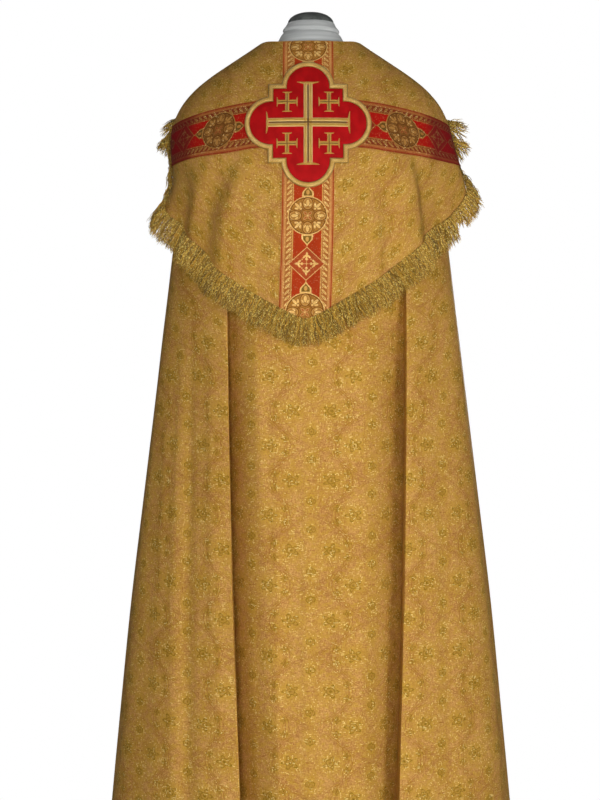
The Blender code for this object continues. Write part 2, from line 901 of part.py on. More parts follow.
def make_clasp(material):
    """A hook plate whose tongue passes over the eye plate, its lip standing in the slot."""
    low = SEAM_GAP
    top = low + CLASP.wall
    half = CLASP.tall / 2
    inner = FRONT_HALF_GAP_TOP - CLASP.over_edge
    outer = inner + CLASP.width
    slot_start = inner + CLASP.slot_inset
    slot_end = slot_start + CLASP.slot_width
    tongue_half = CLASP.tongue_tall / 2
    lip_end = slot_end - CLASP.lip_room
    hook = [
        (box_outline(-outer, -inner, half), low, top + 0.0001),
        (box_outline(-inner - CLASP.tongue_root, lip_end, tongue_half), top, top + CLASP.wall),
        (box_outline(lip_end - CLASP.lip_wall, lip_end, tongue_half), low + PART_GAP * 2, top + PART_GAP),
    ]
    clasp_solid("clasp_hook", hook, material)
    eye_block = (box_outline(inner, outer, half), low, top - PART_GAP)
    eye = clasp_solid("clasp_eye", [eye_block], material)
    slot_block = (box_outline(slot_start, slot_end, CLASP.slot_tall / 2), low - CLASP.wall, top + CLASP.wall)
    slot = clasp_solid("clasp_slot_cutter", [slot_block], material)
    slot.hide_render = True
    slot.display_type = "WIRE"
    cut = eye.modifiers.new("slot", "BOOLEAN")
    cut.operation = "DIFFERENCE"
    cut.object = slot


# Dress form and stand


def form_radius(azimuth, height):
    half_width, back, front = form_section_at(height)
    depth = back if abs(azimuth) < 90 else front
    own = superellipse(azimuth, half_width, depth, FORM_SQUARENESS)
    seat = cloth_radius(azimuth, height) - (CLOTH_WALL + SEAT_GAP) * square_share(azimuth, height)
    return min(own, seat)


def make_form_torso(material):
    sides = FORM_SIDES
    heights = sorted([row.height for row in FORM_SECTIONS] + FORM_EXTRA_HEIGHTS)
    points = []
    for height in heights:
        for side in range(sides):
            azimuth = 360 * side / sides - 180
            points.append(polar_point(azimuth, form_radius(azimuth, height), height))
    faces = [list(range(sides))[::-1]]
    for step in range(len(heights) - 1):
        for side in range(sides):
            across = (side + 1) % sides
            low, high = step * sides, (step + 1) * sides
            faces.append([low + side, low + across, high + across, high + side])
    last = (len(heights) - 1) * sides
    faces.append([last + side for side in range(sides)])
    return new_object("form_torso", points, faces, material)


def make_form_cap(material):
    neck = FORM_SECTIONS[0]
    radius = neck.half_width - CAP_INSET
    profile = [(radius, neck.height + PART_GAP)]
    for step in range(1, CAP_STEPS):
        angle = math.radians(90) * step / CAP_STEPS
        profile.append((radius * math.cos(angle) ** 0.8, neck.height + CAP_RISE * math.sin(angle)))
    turned_object("form_cap", profile, 32, material)


def make_stand(material):
    bottom = FORM_SECTIONS[-1].height
    pole = [(POLE_RADIUS, BASE_HEIGHT + PART_GAP), (POLE_RADIUS, bottom - PART_GAP)]
    turned_object("stand_pole", pole, 24, material)
    inner = BASE_RADIUS - BASE_ROUNDING
    shoulder = BASE_HEIGHT - BASE_ROUNDING
    profile = [(BASE_RADIUS - 0.002, 0.0), (BASE_RADIUS, 0.002), (BASE_RADIUS, shoulder)]
    for step in range(1, 4):
        angle = math.radians(90) * step / 3
        radius = inner + BASE_ROUNDING * math.cos(angle)
        profile.append((radius, shoulder + BASE_ROUNDING * math.sin(angle)))
    turned_object("stand_base", profile, 48, material)


def new_material(name, colour, roughness, metallic=0.0):
    material = bpy.data.materials.new(name)
    material.use_nodes = True
    shader = material.node_tree.nodes["Principled BSDF"]
    shader.inputs["Base Color"].default_value = (*colour, 1)
    shader.inputs["Roughness"].default_value = roughness
    shader.inputs["Metallic"].default_value = metallic
    return material


def main():
    for thing in list(bpy.data.objects):
        bpy.data.objects.remove(thing)
    brocade = new_material("gold_brocade", (0.62, 0.36, 0.13), 0.5)
    galloon = new_material("woven_galloon", (0.50, 0.13, 0.04), 0.45)
    red_satin = new_material("red_satin", (0.48, 0.01, 0.02), 0.4)
    gold_thread = new_material("gold_thread", (0.66, 0.45, 0.16), 0.4)
    lurex = new_material("lurex_fringe", (0.50, 0.42, 0.16), 0.4)
    brass = new_material("clasp_brass", (0.70, 0.52, 0.22), 0.3, 1.0)
    jersey = new_material("pale_jersey", (0.62, 0.65, 0.66), 0.85)
    dark = new_material("dark_cap", (0.03, 0.035, 0.03), 0.5)
    steel = new_material("stand_metal", (0.05, 0.05, 0.055), 0.4, 0.8)

    make_cope_body(brocade)
    make_hood(brocade)
    make_hood_fringe(lurex)
    make_orphrey_vertical(galloon)
    make_orphrey_side("orphrey_left", -1, galloon)
    make_orphrey_side("orphrey_right", 1, galloon)
    make_emblem_ground(red_satin)
    make_emblem_border(gold_thread)
    make_cross("cross_large", LARGE_CROSS, (0.0, 0.0), gold_thread)
    number = 0
    for z_side in (1, -1):
        for x_side in (-1, 1):
            number += 1
            offset = (x_side * SMALL_CROSS_OFFSET, z_side * SMALL_CROSS_OFFSET)
            make_cross(f"cross_small_{number}", SMALL_CROSS, offset, gold_thread)
    make_clasp(brass)
    make_form_torso(jersey)
    make_form_cap(dark)
    make_stand(steel)


main()
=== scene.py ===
# Cope vestment on a limbless dress form: cloth, trimmings, floor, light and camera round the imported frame.
import math

import bpy
import numpy as np
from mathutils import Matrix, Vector


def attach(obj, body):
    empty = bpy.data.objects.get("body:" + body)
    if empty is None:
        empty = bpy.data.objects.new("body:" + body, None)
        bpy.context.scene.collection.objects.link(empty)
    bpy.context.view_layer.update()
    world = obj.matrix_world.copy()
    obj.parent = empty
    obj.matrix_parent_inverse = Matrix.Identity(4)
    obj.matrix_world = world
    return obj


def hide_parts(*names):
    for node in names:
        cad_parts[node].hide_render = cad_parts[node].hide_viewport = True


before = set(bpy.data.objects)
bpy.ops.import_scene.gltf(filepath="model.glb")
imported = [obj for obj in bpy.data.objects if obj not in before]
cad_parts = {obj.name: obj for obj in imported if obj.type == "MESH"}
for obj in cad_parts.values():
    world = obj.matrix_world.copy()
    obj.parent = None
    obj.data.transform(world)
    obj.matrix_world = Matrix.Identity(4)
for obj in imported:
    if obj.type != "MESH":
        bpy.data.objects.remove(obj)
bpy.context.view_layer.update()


def addToScene(name, data):
    thing = bpy.data.objects.new(name, data)
    bpy.context.scene.collection.objects.link(thing)
    return thing


# Camera, level with the middle of the cope's back

cameraSetup = {"place": (-0.0201, -3.21, 0.863), "frameHigh": 0.4667, "sensor": 24.0, "shape": 0.75}


def makeCamera():
    sensor = cameraSetup["sensor"]
    lens = bpy.data.cameras.new("camera")
    lens.sensor_fit = "VERTICAL"
    lens.sensor_height, lens.sensor_width = sensor, sensor * cameraSetup["shape"]
    lens.lens = sensor / cameraSetup["frameHigh"]
    camera = addToScene("camera", lens)
    camera.location = cameraSetup["place"]
    camera.rotation_euler = (math.radians(90), 0, 0)
    bpy.context.scene.camera = camera


makeCamera()
print("camera placed")


# Small tools for shapes


def smoothTable(rows):
    # reads a table by its first column, on a smooth curve through its rows
    table = np.array(sorted(rows), float)
    keys, values = table[:, 0], table[:, 1:]
    slopes = np.gradient(values, keys, axis=0)

    def at(key):
        key = np.clip(np.asarray(key, float), keys[0], keys[-1])
        low = np.clip(np.searchsorted(keys, key, side="right") - 1, 0, len(keys) - 2)
        span = (keys[low + 1] - keys[low])[..., None]
        t = (key - keys[low])[..., None] / span
        blend = values[low] + (values[low + 1] - values[low]) * smoothstep(t)
        return blend + slopes[low] * t * (1 - t) ** 2 * span - slopes[low + 1] * t * t * (1 - t) * span

    return at


def mirrored(rows):
    # the rows again on the other side of 0
    return rows + [(-row[0], *row[1:]) for row in rows[1:]]


def smoothstep(value):
    t = np.clip(value, 0.0, 1.0)
    return t * t * (3 - 2 * t)


def together(*parts):
    return np.stack(np.broadcast_arrays(*parts), axis=-1)


def polar(azimuth, radius, height):
    angle = np.radians(azimuth)
    return together(radius * np.sin(angle), -radius * np.cos(angle), height)


def oval(azimuth, halfWidth, back, front, squareness):
    # distance from the middle to the outline of a squared oval
    across = np.abs(np.sin(np.radians(azimuth))) / halfWidth
    along = np.abs(np.cos(np.radians(azimuth))) / np.where(np.abs(azimuth) < 90, back, front)
    return (across**squareness + along**squareness) ** (-1 / squareness)


def unit(vectors):
    return vectors / np.linalg.norm(vectors, axis=-1, keepdims=True)


def gridNormals(grid):
    return unit(np.cross(np.gradient(grid, axis=0), np.gradient(grid, axis=1)))


def spreadAlong(grid, axis=0, start=0):
    # distance along the cloth from the place whose index is start, in metres
    steps = np.diff(grid, axis=axis, prepend=np.take(grid, [0], axis=axis))
    distance = np.cumsum(np.linalg.norm(steps, axis=-1), axis=axis)
    return distance - np.take(distance, [start], axis=axis)


def newPiece(name, points, faces, materials, uv=None, kinds=None, sharp=50):
    mesh = bpy.data.meshes.new(name)
    mesh.from_pydata(np.reshape(points, (-1, 3)).tolist(), [], faces)
    for material in materials:
        mesh.materials.append(material)
    if kinds is not None:
        mesh.polygons.foreach_set("material_index", np.asarray(kinds, np.int32))
    if uv is not None:
        corners = [corner for face in faces for corner in face]
        layer = mesh.uv_layers.new(name="cloth")
        layer.data.foreach_set("uv", np.reshape(uv, (-1, 2))[corners].astype(np.float32).reshape(-1))
    mesh.validate()
    mesh.shade_smooth()
    if sharp:
        mesh.set_sharp_from_angle(angle=math.radians(sharp))
    return addToScene(name, mesh)


def dress(piece, node):
    # the piece stands in for its solid
    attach(piece, "root")
    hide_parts(node)
    return piece


def gridFaces(rows, columns, offset=0):
    index = np.arange(rows * columns).reshape(rows, columns) + offset
    corners = [index[:-1, :-1], index[1:, :-1], index[1:, 1:], index[:-1, 1:]]
    return np.stack(corners, axis=-1).reshape(-1, 4)


def ringFaces(here, there):
    # quads between closed rings of point numbers
    after = [np.roll(ring, -1, axis=-1) for ring in (there, here)]
    return np.stack([here, there, *after], axis=-1).reshape(-1, 4)


def clothShell(name, grid, wall, uv, outside, inside):
    # a thin closed shell: the grid is its outer face, the other face is wall behind it
    rows, columns = grid.shape[:2]
    count = rows * columns
    index = np.arange(count).reshape(rows, columns)
    rim = np.concatenate([index[0, ::-1], index[1:, 0], index[-1, 1:], index[-2:0:-1, -1]])
    after = np.roll(rim, -1)
    rimFaces = np.stack([after, rim, rim + count, after + count], axis=-1)
    outer = gridFaces(rows, columns)
    faces = np.concatenate([outer, gridFaces(rows, columns, count)[:, ::-1], rimFaces]).tolist()
    kinds = np.repeat([0, 1, 0], [len(outer), len(outer), len(rimFaces)])
    points = [grid, grid - gridNormals(grid) * wall]
    return newPiece(name, points, faces, [outside, inside], [uv, uv], kinds)


# Shader tools: a Wire is a socket that takes part in Python sums


def tone(red, green, blue):
    # a colour read off a swatch, 0 to 255, as the shader wants it
    def linear(value):
        value /= 255
        return value / 12.92 if value <= 0.04045 else ((value + 0.055) / 1.055) ** 2.4

    return (linear(red), linear(green), linear(blue), 1.0)


def maths(operation, reflected=False):
    def act(wire, *others):
        values = (*others, wire) if reflected else (wire, *others)
        return wire.finish.add("Math", {"operation": operation}, dict(enumerate(values)))

    return act


class Wire:
    def __init__(self, finish, socket):
        self.finish, self.socket = finish, socket

    __add__ = __radd__ = maths("ADD")
    __mul__ = __rmul__ = maths("MULTIPLY")
    __sub__, __rsub__ = maths("SUBTRACT"), maths("SUBTRACT", reflected=True)
    __truediv__, __pow__, __abs__ = maths("DIVIDE"), maths("POWER"), maths("ABSOLUTE")
    high, low, floor, root = maths("MAXIMUM"), maths("MINIMUM"), maths("FLOOR"), maths("SQRT")
    cosine, angleWith, wrapTo = maths("COSINE"), maths("ARCTAN2"), maths("WRAP")

    def wrap(self, span):
        # repeats from -span/2 to span/2
        return self.wrapTo(span / 2, -span / 2)

    def rise(self, start, end):
        # 0 before start, 1 after end
        sockets = {"Value": self, "From Min": start, "From Max": end}
        return self.finish.add("MapRange", {"interpolation_type": "SMOOTHSTEP"}, sockets)

    def within(self, half, soft=0.3):
        # 1 where the value lies within half of 0
        return 1 - abs(self).rise(half - soft, half + soft)

    def ribs(self, pitch):
        # a wave from -1 to 1 for every pitch
        return (self * (2 * math.pi / pitch)).cosine()


def most(mask, *others):
    for other in others:
        mask = mask.high(other)
    return mask


def hypotenuse(x, y):
    return (x * x + y * y).root()


class Finish:
    # one material, with its constant sockets given first
    def __init__(self, name, constants):
        self.material = bpy.data.materials.new(name)
        self.material.use_nodes = True
        self.tree = self.material.node_tree
        self.surface = self.tree.nodes["Principled BSDF"]
        for socket, value in constants.items():
            self.surface.inputs[socket].default_value = value

    def add(self, kind, settings=None, sockets=None, output=0):
        node = self.tree.nodes.new("ShaderNode" + kind)
        for key, value in (settings or {}).items():
            setattr(node, key, value)
        for key, value in (sockets or {}).items():
            if isinstance(value, Wire):
                self.tree.links.new(value.socket, node.inputs[key])
            else:
                node.inputs[key].default_value = value
        return Wire(self, node.outputs[output])

    def split(self, place):
        node = self.add("SeparateXYZ", None, {0: place}).socket.node
        return Wire(self, node.outputs[0]), Wire(self, node.outputs[1])

    def clothPlace(self):
        # u and v along the cloth, in millimetres
        u, v = self.split(self.add("UVMap", {"uv_map": "cloth"}))
        return u * 1000, v * 1000

    def shapePlace(self):
        return self.add("TexCoord", None, None, 3)

    def mix(self, under, over, factor):
        return self.add("Mix", {"data_type": "RGBA"}, {0: factor, 6: under, 7: over}, 2)

    def lay(self, colour, *layers):
        # each tone lies over the last, where its mask is
        for over, mask in layers:
            colour = self.mix(colour, over, mask)
        return colour

    def noise(self, u, v, across, along, detail=2.0):
        # soft noise whose grains are about across by along millimetres
        vector = self.add("CombineXYZ", None, {0: u / across, 1: v / along})
        sockets = {"Vector": vector, "Scale": 1.0, "Detail": detail}
        return self.add("TexNoise", {"noise_dimensions": "2D"}, sockets)

    def specks(self, u, v, across, along):
        # one random number for each small patch, laid like bricks
        course = (v / along).floor()
        vector = self.add("CombineXYZ", None, {0: (u / across + course * 0.5).floor(), 1: course})
        return self.add("TexWhiteNoise", {"noise_dimensions": "2D"}, {"Vector": vector})

    def shapeNoise(self, scale, detail):
        return self.add("TexNoise", None, {"Vector": self.shapePlace(), "Scale": scale, "Detail": detail})

    def show(self, colour, roughness, metallic, bump, distance, strength):
        sockets = {"Strength": strength, "Distance": distance, "Height": bump}
        feeds = {"Base Color": colour, "Roughness": roughness, "Metallic": metallic}
        feeds["Normal"] = self.add("Bump", None, sockets)
        for socket, wire in feeds.items():
            if wire is not None:
                self.tree.links.new(wire.socket, self.surface.inputs[socket])
        return self.material


# Cope body

bodyCut = {
    "hem": 0.035,
    "wall": 0.0016,
    "halfGapTop": 0.007,
    "halfGapHem": 0.045,
    "gapOpensBelow": 1.35,
    "foldLevel": 0.863,
    "foldGrowth": 0.42,
    "troughPower": 1.9,
    "rows": 138,
    # width of a degree where the folds are, and the least step between columns in degrees
    "degree": 0.0044,
    "closest": 0.33,
    "rowCrowding": 1.12,
    # how far a fold's cloth is drawn in on either side, in runs and edges
    "drawnIn": (0.30, 0.55),
    # heights over which a crease fades in at its top and out at its bottom
    "creaseFades": (0.25, 0.2),
    "ogeeHeight": 0.8438,
    "ogeeSide": 0.0,
    # height, half width, back, front, squareness
    "sections": [
        (1.530, 0.086, 0.0740, 0.078, 2.00),
        (1.520, 0.1005, 0.0785, 0.083, 2.00),
        (1.505, 0.1205, 0.0870, 0.089, 2.00),
        (1.485, 0.1495, 0.0975, 0.096, 2.05),
        (1.462, 0.1820, 0.1090, 0.102, 2.10),
        (1.440, 0.2080, 0.1205, 0.108, 2.15),
        (1.415, 0.2290, 0.1330, 0.116, 2.20),
        (1.385, 0.2440, 0.1470, 0.125, 2.20),
        (1.345, 0.2500, 0.1620, 0.136, 2.25),
        (1.300, 0.2470, 0.1740, 0.147, 2.30),
        (1.240, 0.2460, 0.1830, 0.156, 2.30),
        (1.125, 0.2590, 0.1950, 0.167, 2.30),
        (0.863, 0.2900, 0.2130, 0.186, 2.30),
        (0.676, 0.3125, 0.2260, 0.202, 2.30),
        (0.488, 0.3350, 0.2410, 0.220, 2.30),
        (0.301, 0.3535, 0.2560, 0.238, 2.30),
        (0.116, 0.3710, 0.2720, 0.256, 2.30),
        (0.035, 0.3780, 0.2790, 0.264, 2.30),
    ],
    # azimuth, azimuth at the hem, depth, side of the quick edge, its width, run of the soft side,
    # lip, start, tuck under the panel, azimuth it sinks from (None for its own), depth and run at the hem
    "folds": [
        (-150.0, -150.0, 0.050, -1, 0.026, 0.062, 0.0, 1.20, 0.030, None, 0.050, 0.062),
        (-127.0, -128.0, 0.055, 1, 0.026, 0.066, 0.0, 1.20, 0.030, None, 0.055, 0.066),
        (-104.0, -104.0, 0.050, 1, 0.022, 0.054, 0.004, 1.18, 0.026, None, 0.050, 0.054),
        (-54.0, -42.0, 0.006, -1, 0.030, 0.044, 0.0, 1.10, 0.0, None, 0.006, 0.044),
        (-34.8, -21.3, 0.056, -1, 0.010, 0.048, 0.0045, 1.24, 0.014, 0.0, 0.070, 0.112),
        (-12.0, -9.0, 0.006, 1, 0.040, 0.036, 0.0, 0.80, 0.0, None, 0.002, 0.036),
        (39.8, 26.5, 0.054, 1, 0.011, 0.080, 0.003, 1.24, 0.0090, 0.0, 0.064, 0.094),
        (104.0, 104.0, 0.050, -1, 0.022, 0.054, 0.004, 1.18, 0.026, None, 0.050, 0.054),
        (127.0, 128.0, 0.055, -1, 0.026, 0.066, 0.0, 1.20, 0.030, None, 0.055, 0.066),
        (150.0, 150.0, 0.050, 1, 0.026, 0.062, 0.0, 1.20, 0.030, None, 0.050, 0.062),
    ],
    # small creases: azimuth, azimuth at the hem, half width, depth, top, bottom
    "creases": [
        (-70.0, -62.0, 6.0, 0.0030, 0.95, 0.10),
        (-23.0, -15.0, 5.0, 0.0022, 0.80, 0.04),
        (3.0, 4.0, 7.0, 0.0018, 0.70, 0.04),
        (20.0, 15.0, 6.0, -0.0016, 0.95, 0.20),
        (69.0, 65.0, 12.0, -0.0065, 1.20, -0.20),
        (58.0, 47.0, 5.0, 0.0020, 0.90, 0.04),
        (-71.0, -70.0, 12.0, -0.0060, 1.15, -0.20),
        (-88.0, -86.0, 5.0, 0.0030, 1.00, 0.04),
        (90.0, 88.0, 5.0, 0.0028, 0.95, 0.04),
        (-138.0, -139.0, 3.5, 0.0020, 1.05, 0.10),
        (139.0, 138.0, 3.5, 0.0024, 1.00, 0.04),
        (-165.0, -166.0, 4.0, 0.0020, 1.10, 0.10),
        (165.0, 166.0, 4.0, 0.0020, 1.05, 0.10),
    ],
    # azimuth and height of the neckline
    "neckline": [
        (0.0, 1.519), (40.0, 1.5205), (65.0, 1.5250), (90.0, 1.5225),
        (115.0, 1.5040), (140.0, 1.4780), (180.0, 1.4560),
    ],
    # the cloth hangs a little unevenly: depth, where it starts and over how far
    "uneven": (0.0007, 1.25, 0.6),
}

sectionAt = smoothTable(bodyCut["sections"])
necklineTable = smoothTable(mirrored(bodyCut["neckline"]))


def necklineAt(azimuth):
    return necklineTable(azimuth)[..., 0]


def clothRadius(azimuth, height):
    # outer face of the cope body without its folds
    return oval(azimuth, *np.moveaxis(sectionAt(height), -1, 0))


def squareShare(azimuth, height):
    # radial distance for one unit of distance square to the cloth
    steep = (clothRadius(azimuth, height + 0.002) - clothRadius(azimuth, height - 0.002)) / 0.004
    turning = (clothRadius(azimuth + 1, height) - clothRadius(azimuth - 1, height)) / math.radians(2)
    return np.sqrt(1 + steep**2 + (turning / clothRadius(azimuth, height)) ** 2)


def lowered(height, level):
    # 0 at the level, 1 at the hem
    return (level - height) / (level - bodyCut["hem"])


def slide(azimuth, azimuthAtHem, start, height):
    return azimuth + (azimuthAtHem - azimuth) * lowered(np.minimum(height, start), bodyCut["foldLevel"])


def columnAzimuth(column, height):
    # columns follow the folds down the cope
    column, height = np.broadcast_arrays(np.asarray(column, float), np.asarray(height, float))
    opened = smoothstep(lowered(height, bodyCut["gapOpensBelow"]))
    halfGap = bodyCut["halfGapTop"] + (bodyCut["halfGapHem"] - bodyCut["halfGapTop"]) * opened
    end = 180 - np.degrees(np.arcsin(halfGap / clothRadius(180.0, height)))
    folds = bodyCut["folds"]
    names = np.array([-180.0, *[fold[0] for fold in folds], 180.0])
    places = np.stack([-end, *[slide(fold[0], fold[1], fold[7], height) for fold in folds], end])
    low = np.clip(np.searchsorted(names, column, side="right") - 1, 0, len(names) - 2)
    share = (column - names[low]) / (names[low + 1] - names[low])
    here, there = (np.take_along_axis(places, low[None] + step, axis=0)[0] for step in (0, 1))
    return here + (there - here) * share


def foldMoves(column, azimuth, height):
    # each fold is a trough that sinks one way and is drawn in under its panel's quick edge
    moves = np.zeros(np.shape(column) + (3,))
    lower = np.clip(lowered(height, bodyCut["foldLevel"]), 0, 1)
    before, behind = bodyCut["drawnIn"]
    for place, _, depth, side, edge, run, lip, start, tuck, sink, depthAtHem, runAtHem in bodyCut["folds"]:
        strength = smoothstep((start - height) / bodyCut["foldGrowth"])
        depth, run = depth + (depthAtHem - depth) * lower, run + (runAtHem - run) * lower
        across = np.radians(column - place) * side * clothRadius(place, height)
        hidden = tuck * np.exp(-((across / np.where(across < 0, before * run, behind * edge)) ** 2))
        fromBottom = np.clip((tuck - hidden - across) / (run + tuck), 0, 1)
        rise = smoothstep(across / edge)
        quick = lip * rise * (1 - smoothstep((across - edge) / run)) - depth * (1 - rise)
        trough = -depth * (1 - fromBottom) ** bodyCut["troughPower"]
        offset = strength * np.where(across <= 0, trough, quick)
        shift = strength * hidden * side
        angle = np.radians(azimuth if sink is None else sink)
        moves[..., 0] += offset * np.sin(angle) + shift * np.cos(angle)
        moves[..., 1] += shift * np.sin(angle) - offset * np.cos(angle)
    return moves


def creaseOffset(column, azimuth, height):
    total = 0.0
    fadeIn, fadeOut = bodyCut["creaseFades"]
    for place, placeAtHem, halfWidth, depth, top, bottom in bodyCut["creases"]:
        across = 1 - smoothstep(np.abs(azimuth - slide(place, placeAtHem, top, height)) / halfWidth)
        shown = smoothstep((top - height) / fadeIn) * smoothstep((height - bottom + fadeOut) / fadeOut)
        total = total - depth * across * shown
    depth, top, growth = bodyCut["uneven"]
    waves = np.sin(column * 0.43 + 1.3 * np.sin(height * 2.1))
    waves = waves + 0.6 * np.sin(column * 0.91 + height * 3.0 + 2.0)
    return total + depth * smoothstep((top - height) / growth) * waves


def bodyColumns():
    # closer together at each fold's quick edge
    degree = bodyCut["degree"]
    columns = [np.linspace(-180, 180, 181)]
    for azimuth, _, _, side, edge, run, *_ in bodyCut["folds"]:
        columns.append(azimuth + side * np.linspace(-1.2 * run, 0, 12) / degree)
        columns.append(azimuth + side * np.linspace(0, 2 * edge, 11) / degree)
    columns = np.unique(np.round(np.concatenate(columns), 3))
    kept = [columns[0]]
    for column in columns[1:]:
        if column - kept[-1] > bodyCut["closest"]:
            kept.append(column)
    kept[-1] = 180.0
    return np.array(kept)


def bodyGrid():
    column = bodyColumns()
    top = necklineAt(columnAzimuth(column, 0.0 * column))
    share = np.linspace(0, 1, bodyCut["rows"] + 1)[:, None] ** bodyCut["rowCrowding"]
    height = top + (bodyCut["hem"] - top) * share
    column = np.broadcast_to(column, height.shape)
    azimuth = columnAzimuth(column, height)
    radius = clothRadius(azimuth, height) + creaseOffset(column, azimuth, height)
    return polar(azimuth, radius, height) + foldMoves(column, azimuth, height)


# Hood

hoodCut = {
    "wall": 0.0016,
    "seamGap": 0.0024,
    "firstRise": 0.0014,
    "standOff": 0.0075,
    # heights below the neckline over which the hood rises and stands off
    "riseOver": 0.022,
    "standOver": 0.20,
    "frontEnd": 114.0,
    "ogeeHeight": 1.1612,
    "ogeeSide": -0.0086,
    "rows": 92,
    "rowCrowding": 1.2,
    "columns": 216,
    "edge": [
        (-114.0, 1.440), (-104.0, 1.412), (-95.0, 1.366), (-88.0, 1.300),
        (-82.0, 1.240), (-75.0, 1.206), (-65.0, 1.168), (-56.0, 1.138),
        (-46.0, 1.100), (-33.0, 1.060), (-22.0, 1.034), (-11.0, 1.012),
        (-3.0, 1.000), (5.0, 1.011), (11.0, 1.024), (23.0, 1.051),
        (38.0, 1.090), (50.0, 1.133), (62.0, 1.168), (72.0, 1.198),
        (79.0, 1.240), (85.0, 1.298), (90.0, 1.346), (96.0, 1.392),
        (104.0, 1.424), (114.0, 1.446),
    ],
    # valleys: azimuth at their top and bottom, widths on either side, depth, top, bottom;
    # a negative depth is a ridge, or a corner's flare
    "valleys": [
        (54.5, 58.0, 7.5, 12.0, 0.0086, 1.325, 1.235),
        (46.0, 49.0, 12.0, 8.0, -0.0088, 1.325, 1.235),
        (34.0, 37.0, 6.0, 8.0, 0.0052, 1.305, 1.180),
        (72.0, 74.0, 6.0, 7.0, 0.0036, 1.340, 1.240),
        (-39.0, -52.0, 9.0, 11.5, 0.0082, 1.350, 1.200),
        (-28.0, -42.0, 9.0, 10.0, -0.0052, 1.345, 1.190),
        (-68.0, -66.0, 8.0, 9.0, 0.0050, 1.320, 1.220),
        (-58.0, -57.0, 8.0, 7.0, -0.0030, 1.310, 1.210),
        (-22.0, -25.0, 4.0, 5.0, 0.0022, 1.260, 1.110),
        (20.0, 17.0, 5.0, 4.0, 0.0020, 1.240, 1.090),
        (-80.0, -80.0, 15.0, 15.0, -0.030, 1.272, 1.180),
        (80.0, 80.0, 15.0, 15.0, -0.036, 1.370, 1.228),
    ],
}
hoodEdgeTable = smoothTable(hoodCut["edge"])


def hoodEdgeAt(azimuth):
    return hoodEdgeTable(azimuth)[..., 0]


def hoodRadius(azimuth, height):
    belowNeck = necklineAt(azimuth) - height
    sewn = hoodCut["seamGap"] + hoodCut["firstRise"] * smoothstep(belowNeck / hoodCut["riseOver"])
    lift = hoodCut["standOff"] * smoothstep(belowNeck / hoodCut["standOver"])
    lift = lift + sewn * squareShare(azimuth, height)
    for first, last, left, right, depth, top, bottom in hoodCut["valleys"]:
        down = np.clip((top - height) / (top - bottom), 0, 1)
        gap = azimuth - first - (last - first) * down
        across = 1 - smoothstep(np.where(gap < 0, -gap / left, gap / right))
        lift = lift - depth * across * smoothstep(down)
    return clothRadius(azimuth, height) + lift


def hoodPoints(azimuth, height, lift=0.0):
    return polar(azimuth, hoodRadius(azimuth, height) + lift * squareShare(azimuth, height), height)


def hoodGrid():
    azimuth = np.linspace(-hoodCut["frontEnd"], hoodCut["frontEnd"], hoodCut["columns"] + 1)
    top, bottom = necklineAt(azimuth), hoodEdgeAt(azimuth)
    share = np.linspace(0, 1, hoodCut["rows"] + 1)[:, None] ** hoodCut["rowCrowding"]
    height = top + (bottom - top) * share
    return hoodPoints(np.broadcast_to(azimuth, height.shape), height)


def azimuthAt(x, height, lift=0.0):
    # azimuth of a layer on the hood at a distance x to the side of the centre plane
    x, height = np.broadcast_arrays(np.asarray(x, float), np.asarray(height, float))
    azimuth = np.zeros_like(x)
    for _ in range(12):
        radius = hoodRadius(azimuth, height) + lift * squareShare(azimuth, height)
        azimuth = np.degrees(np.arcsin(x / radius))
    return azimuth


def hoodFace(x, height, lift):
    return hoodPoints(azimuthAt(x, height, lift), height, lift)




# Brocade

brocadeLook = {
    "repeat": (219.0, 121.5),
    "ogeeHalf": 70.0,
    # place from the middle of the ogee, size across and along, petals
    "flowers": [(35.0, 0.0, 17.0, 13.0, 5), (0.0, 36.2, 9.0, 13.5, 3), (46.0, 49.0, 7.5, 6.5, 4)],
    "ground": tone(208, 158, 88),
    "groundDeep": tone(156, 104, 48),
    "line": tone(142, 82, 34),
    "halo": tone(186, 146, 42),
    "petal": tone(118, 88, 10),
    "glint": tone(255, 234, 156),
    "lining": (tone(196, 158, 84), tone(178, 138, 66)),
}


def brocadeFigure(u, v):
    # interlacing ogees with pairs of blossoms and single ones, repeated in a half drop
    wide, high = brocadeLook["repeat"]
    lines, petals, halo = [], [], []
    for drop in (0.0, 0.5):
        x, y = abs((u + drop * wide).wrap(wide)), abs((v + drop * high).wrap(high))
        bow = (y * (math.pi / high)).cosine().high(0.001) ** 0.8 * brocadeLook["ogeeHalf"]
        off = abs((x - bow) * 0.72)
        feather = (off - 5.2 - (y * 0.42).cosine() * 1.5).within(0.4, 0.5) * 0.7
        link = (x - 4.0).within(3.0, 1.0) * y.within(0.9, 0.6)
        lines += [(off - 2.1).within(0.5, 0.5), feather, link]
        for centreX, centreY, across, along, count in brocadeLook["flowers"]:
            dx, dy = (x - centreX) / across, (y - centreY) / along
            radius = hypotenuse(dx, dy)
            rim = radius / ((dy.angleWith(dx) * count).cosine() * 0.25 + 0.75)
            heart = (radius - 0.42).within(0.05, 0.06).high(1 - radius.rise(0.10, 0.22))
            drawn = (rim - 0.86).within(0.09, 0.09).high(heart)
            petals.append((1 - rim.rise(0.90, 1.04)) * (drawn * 0.75 + 0.25))
            lines.append((rim - 1.8).within(0.05, 0.10) * 0.55)
            halo.append(1 - radius.rise(0.7, 2.5))
    return most(*lines), most(*petals), most(*halo)


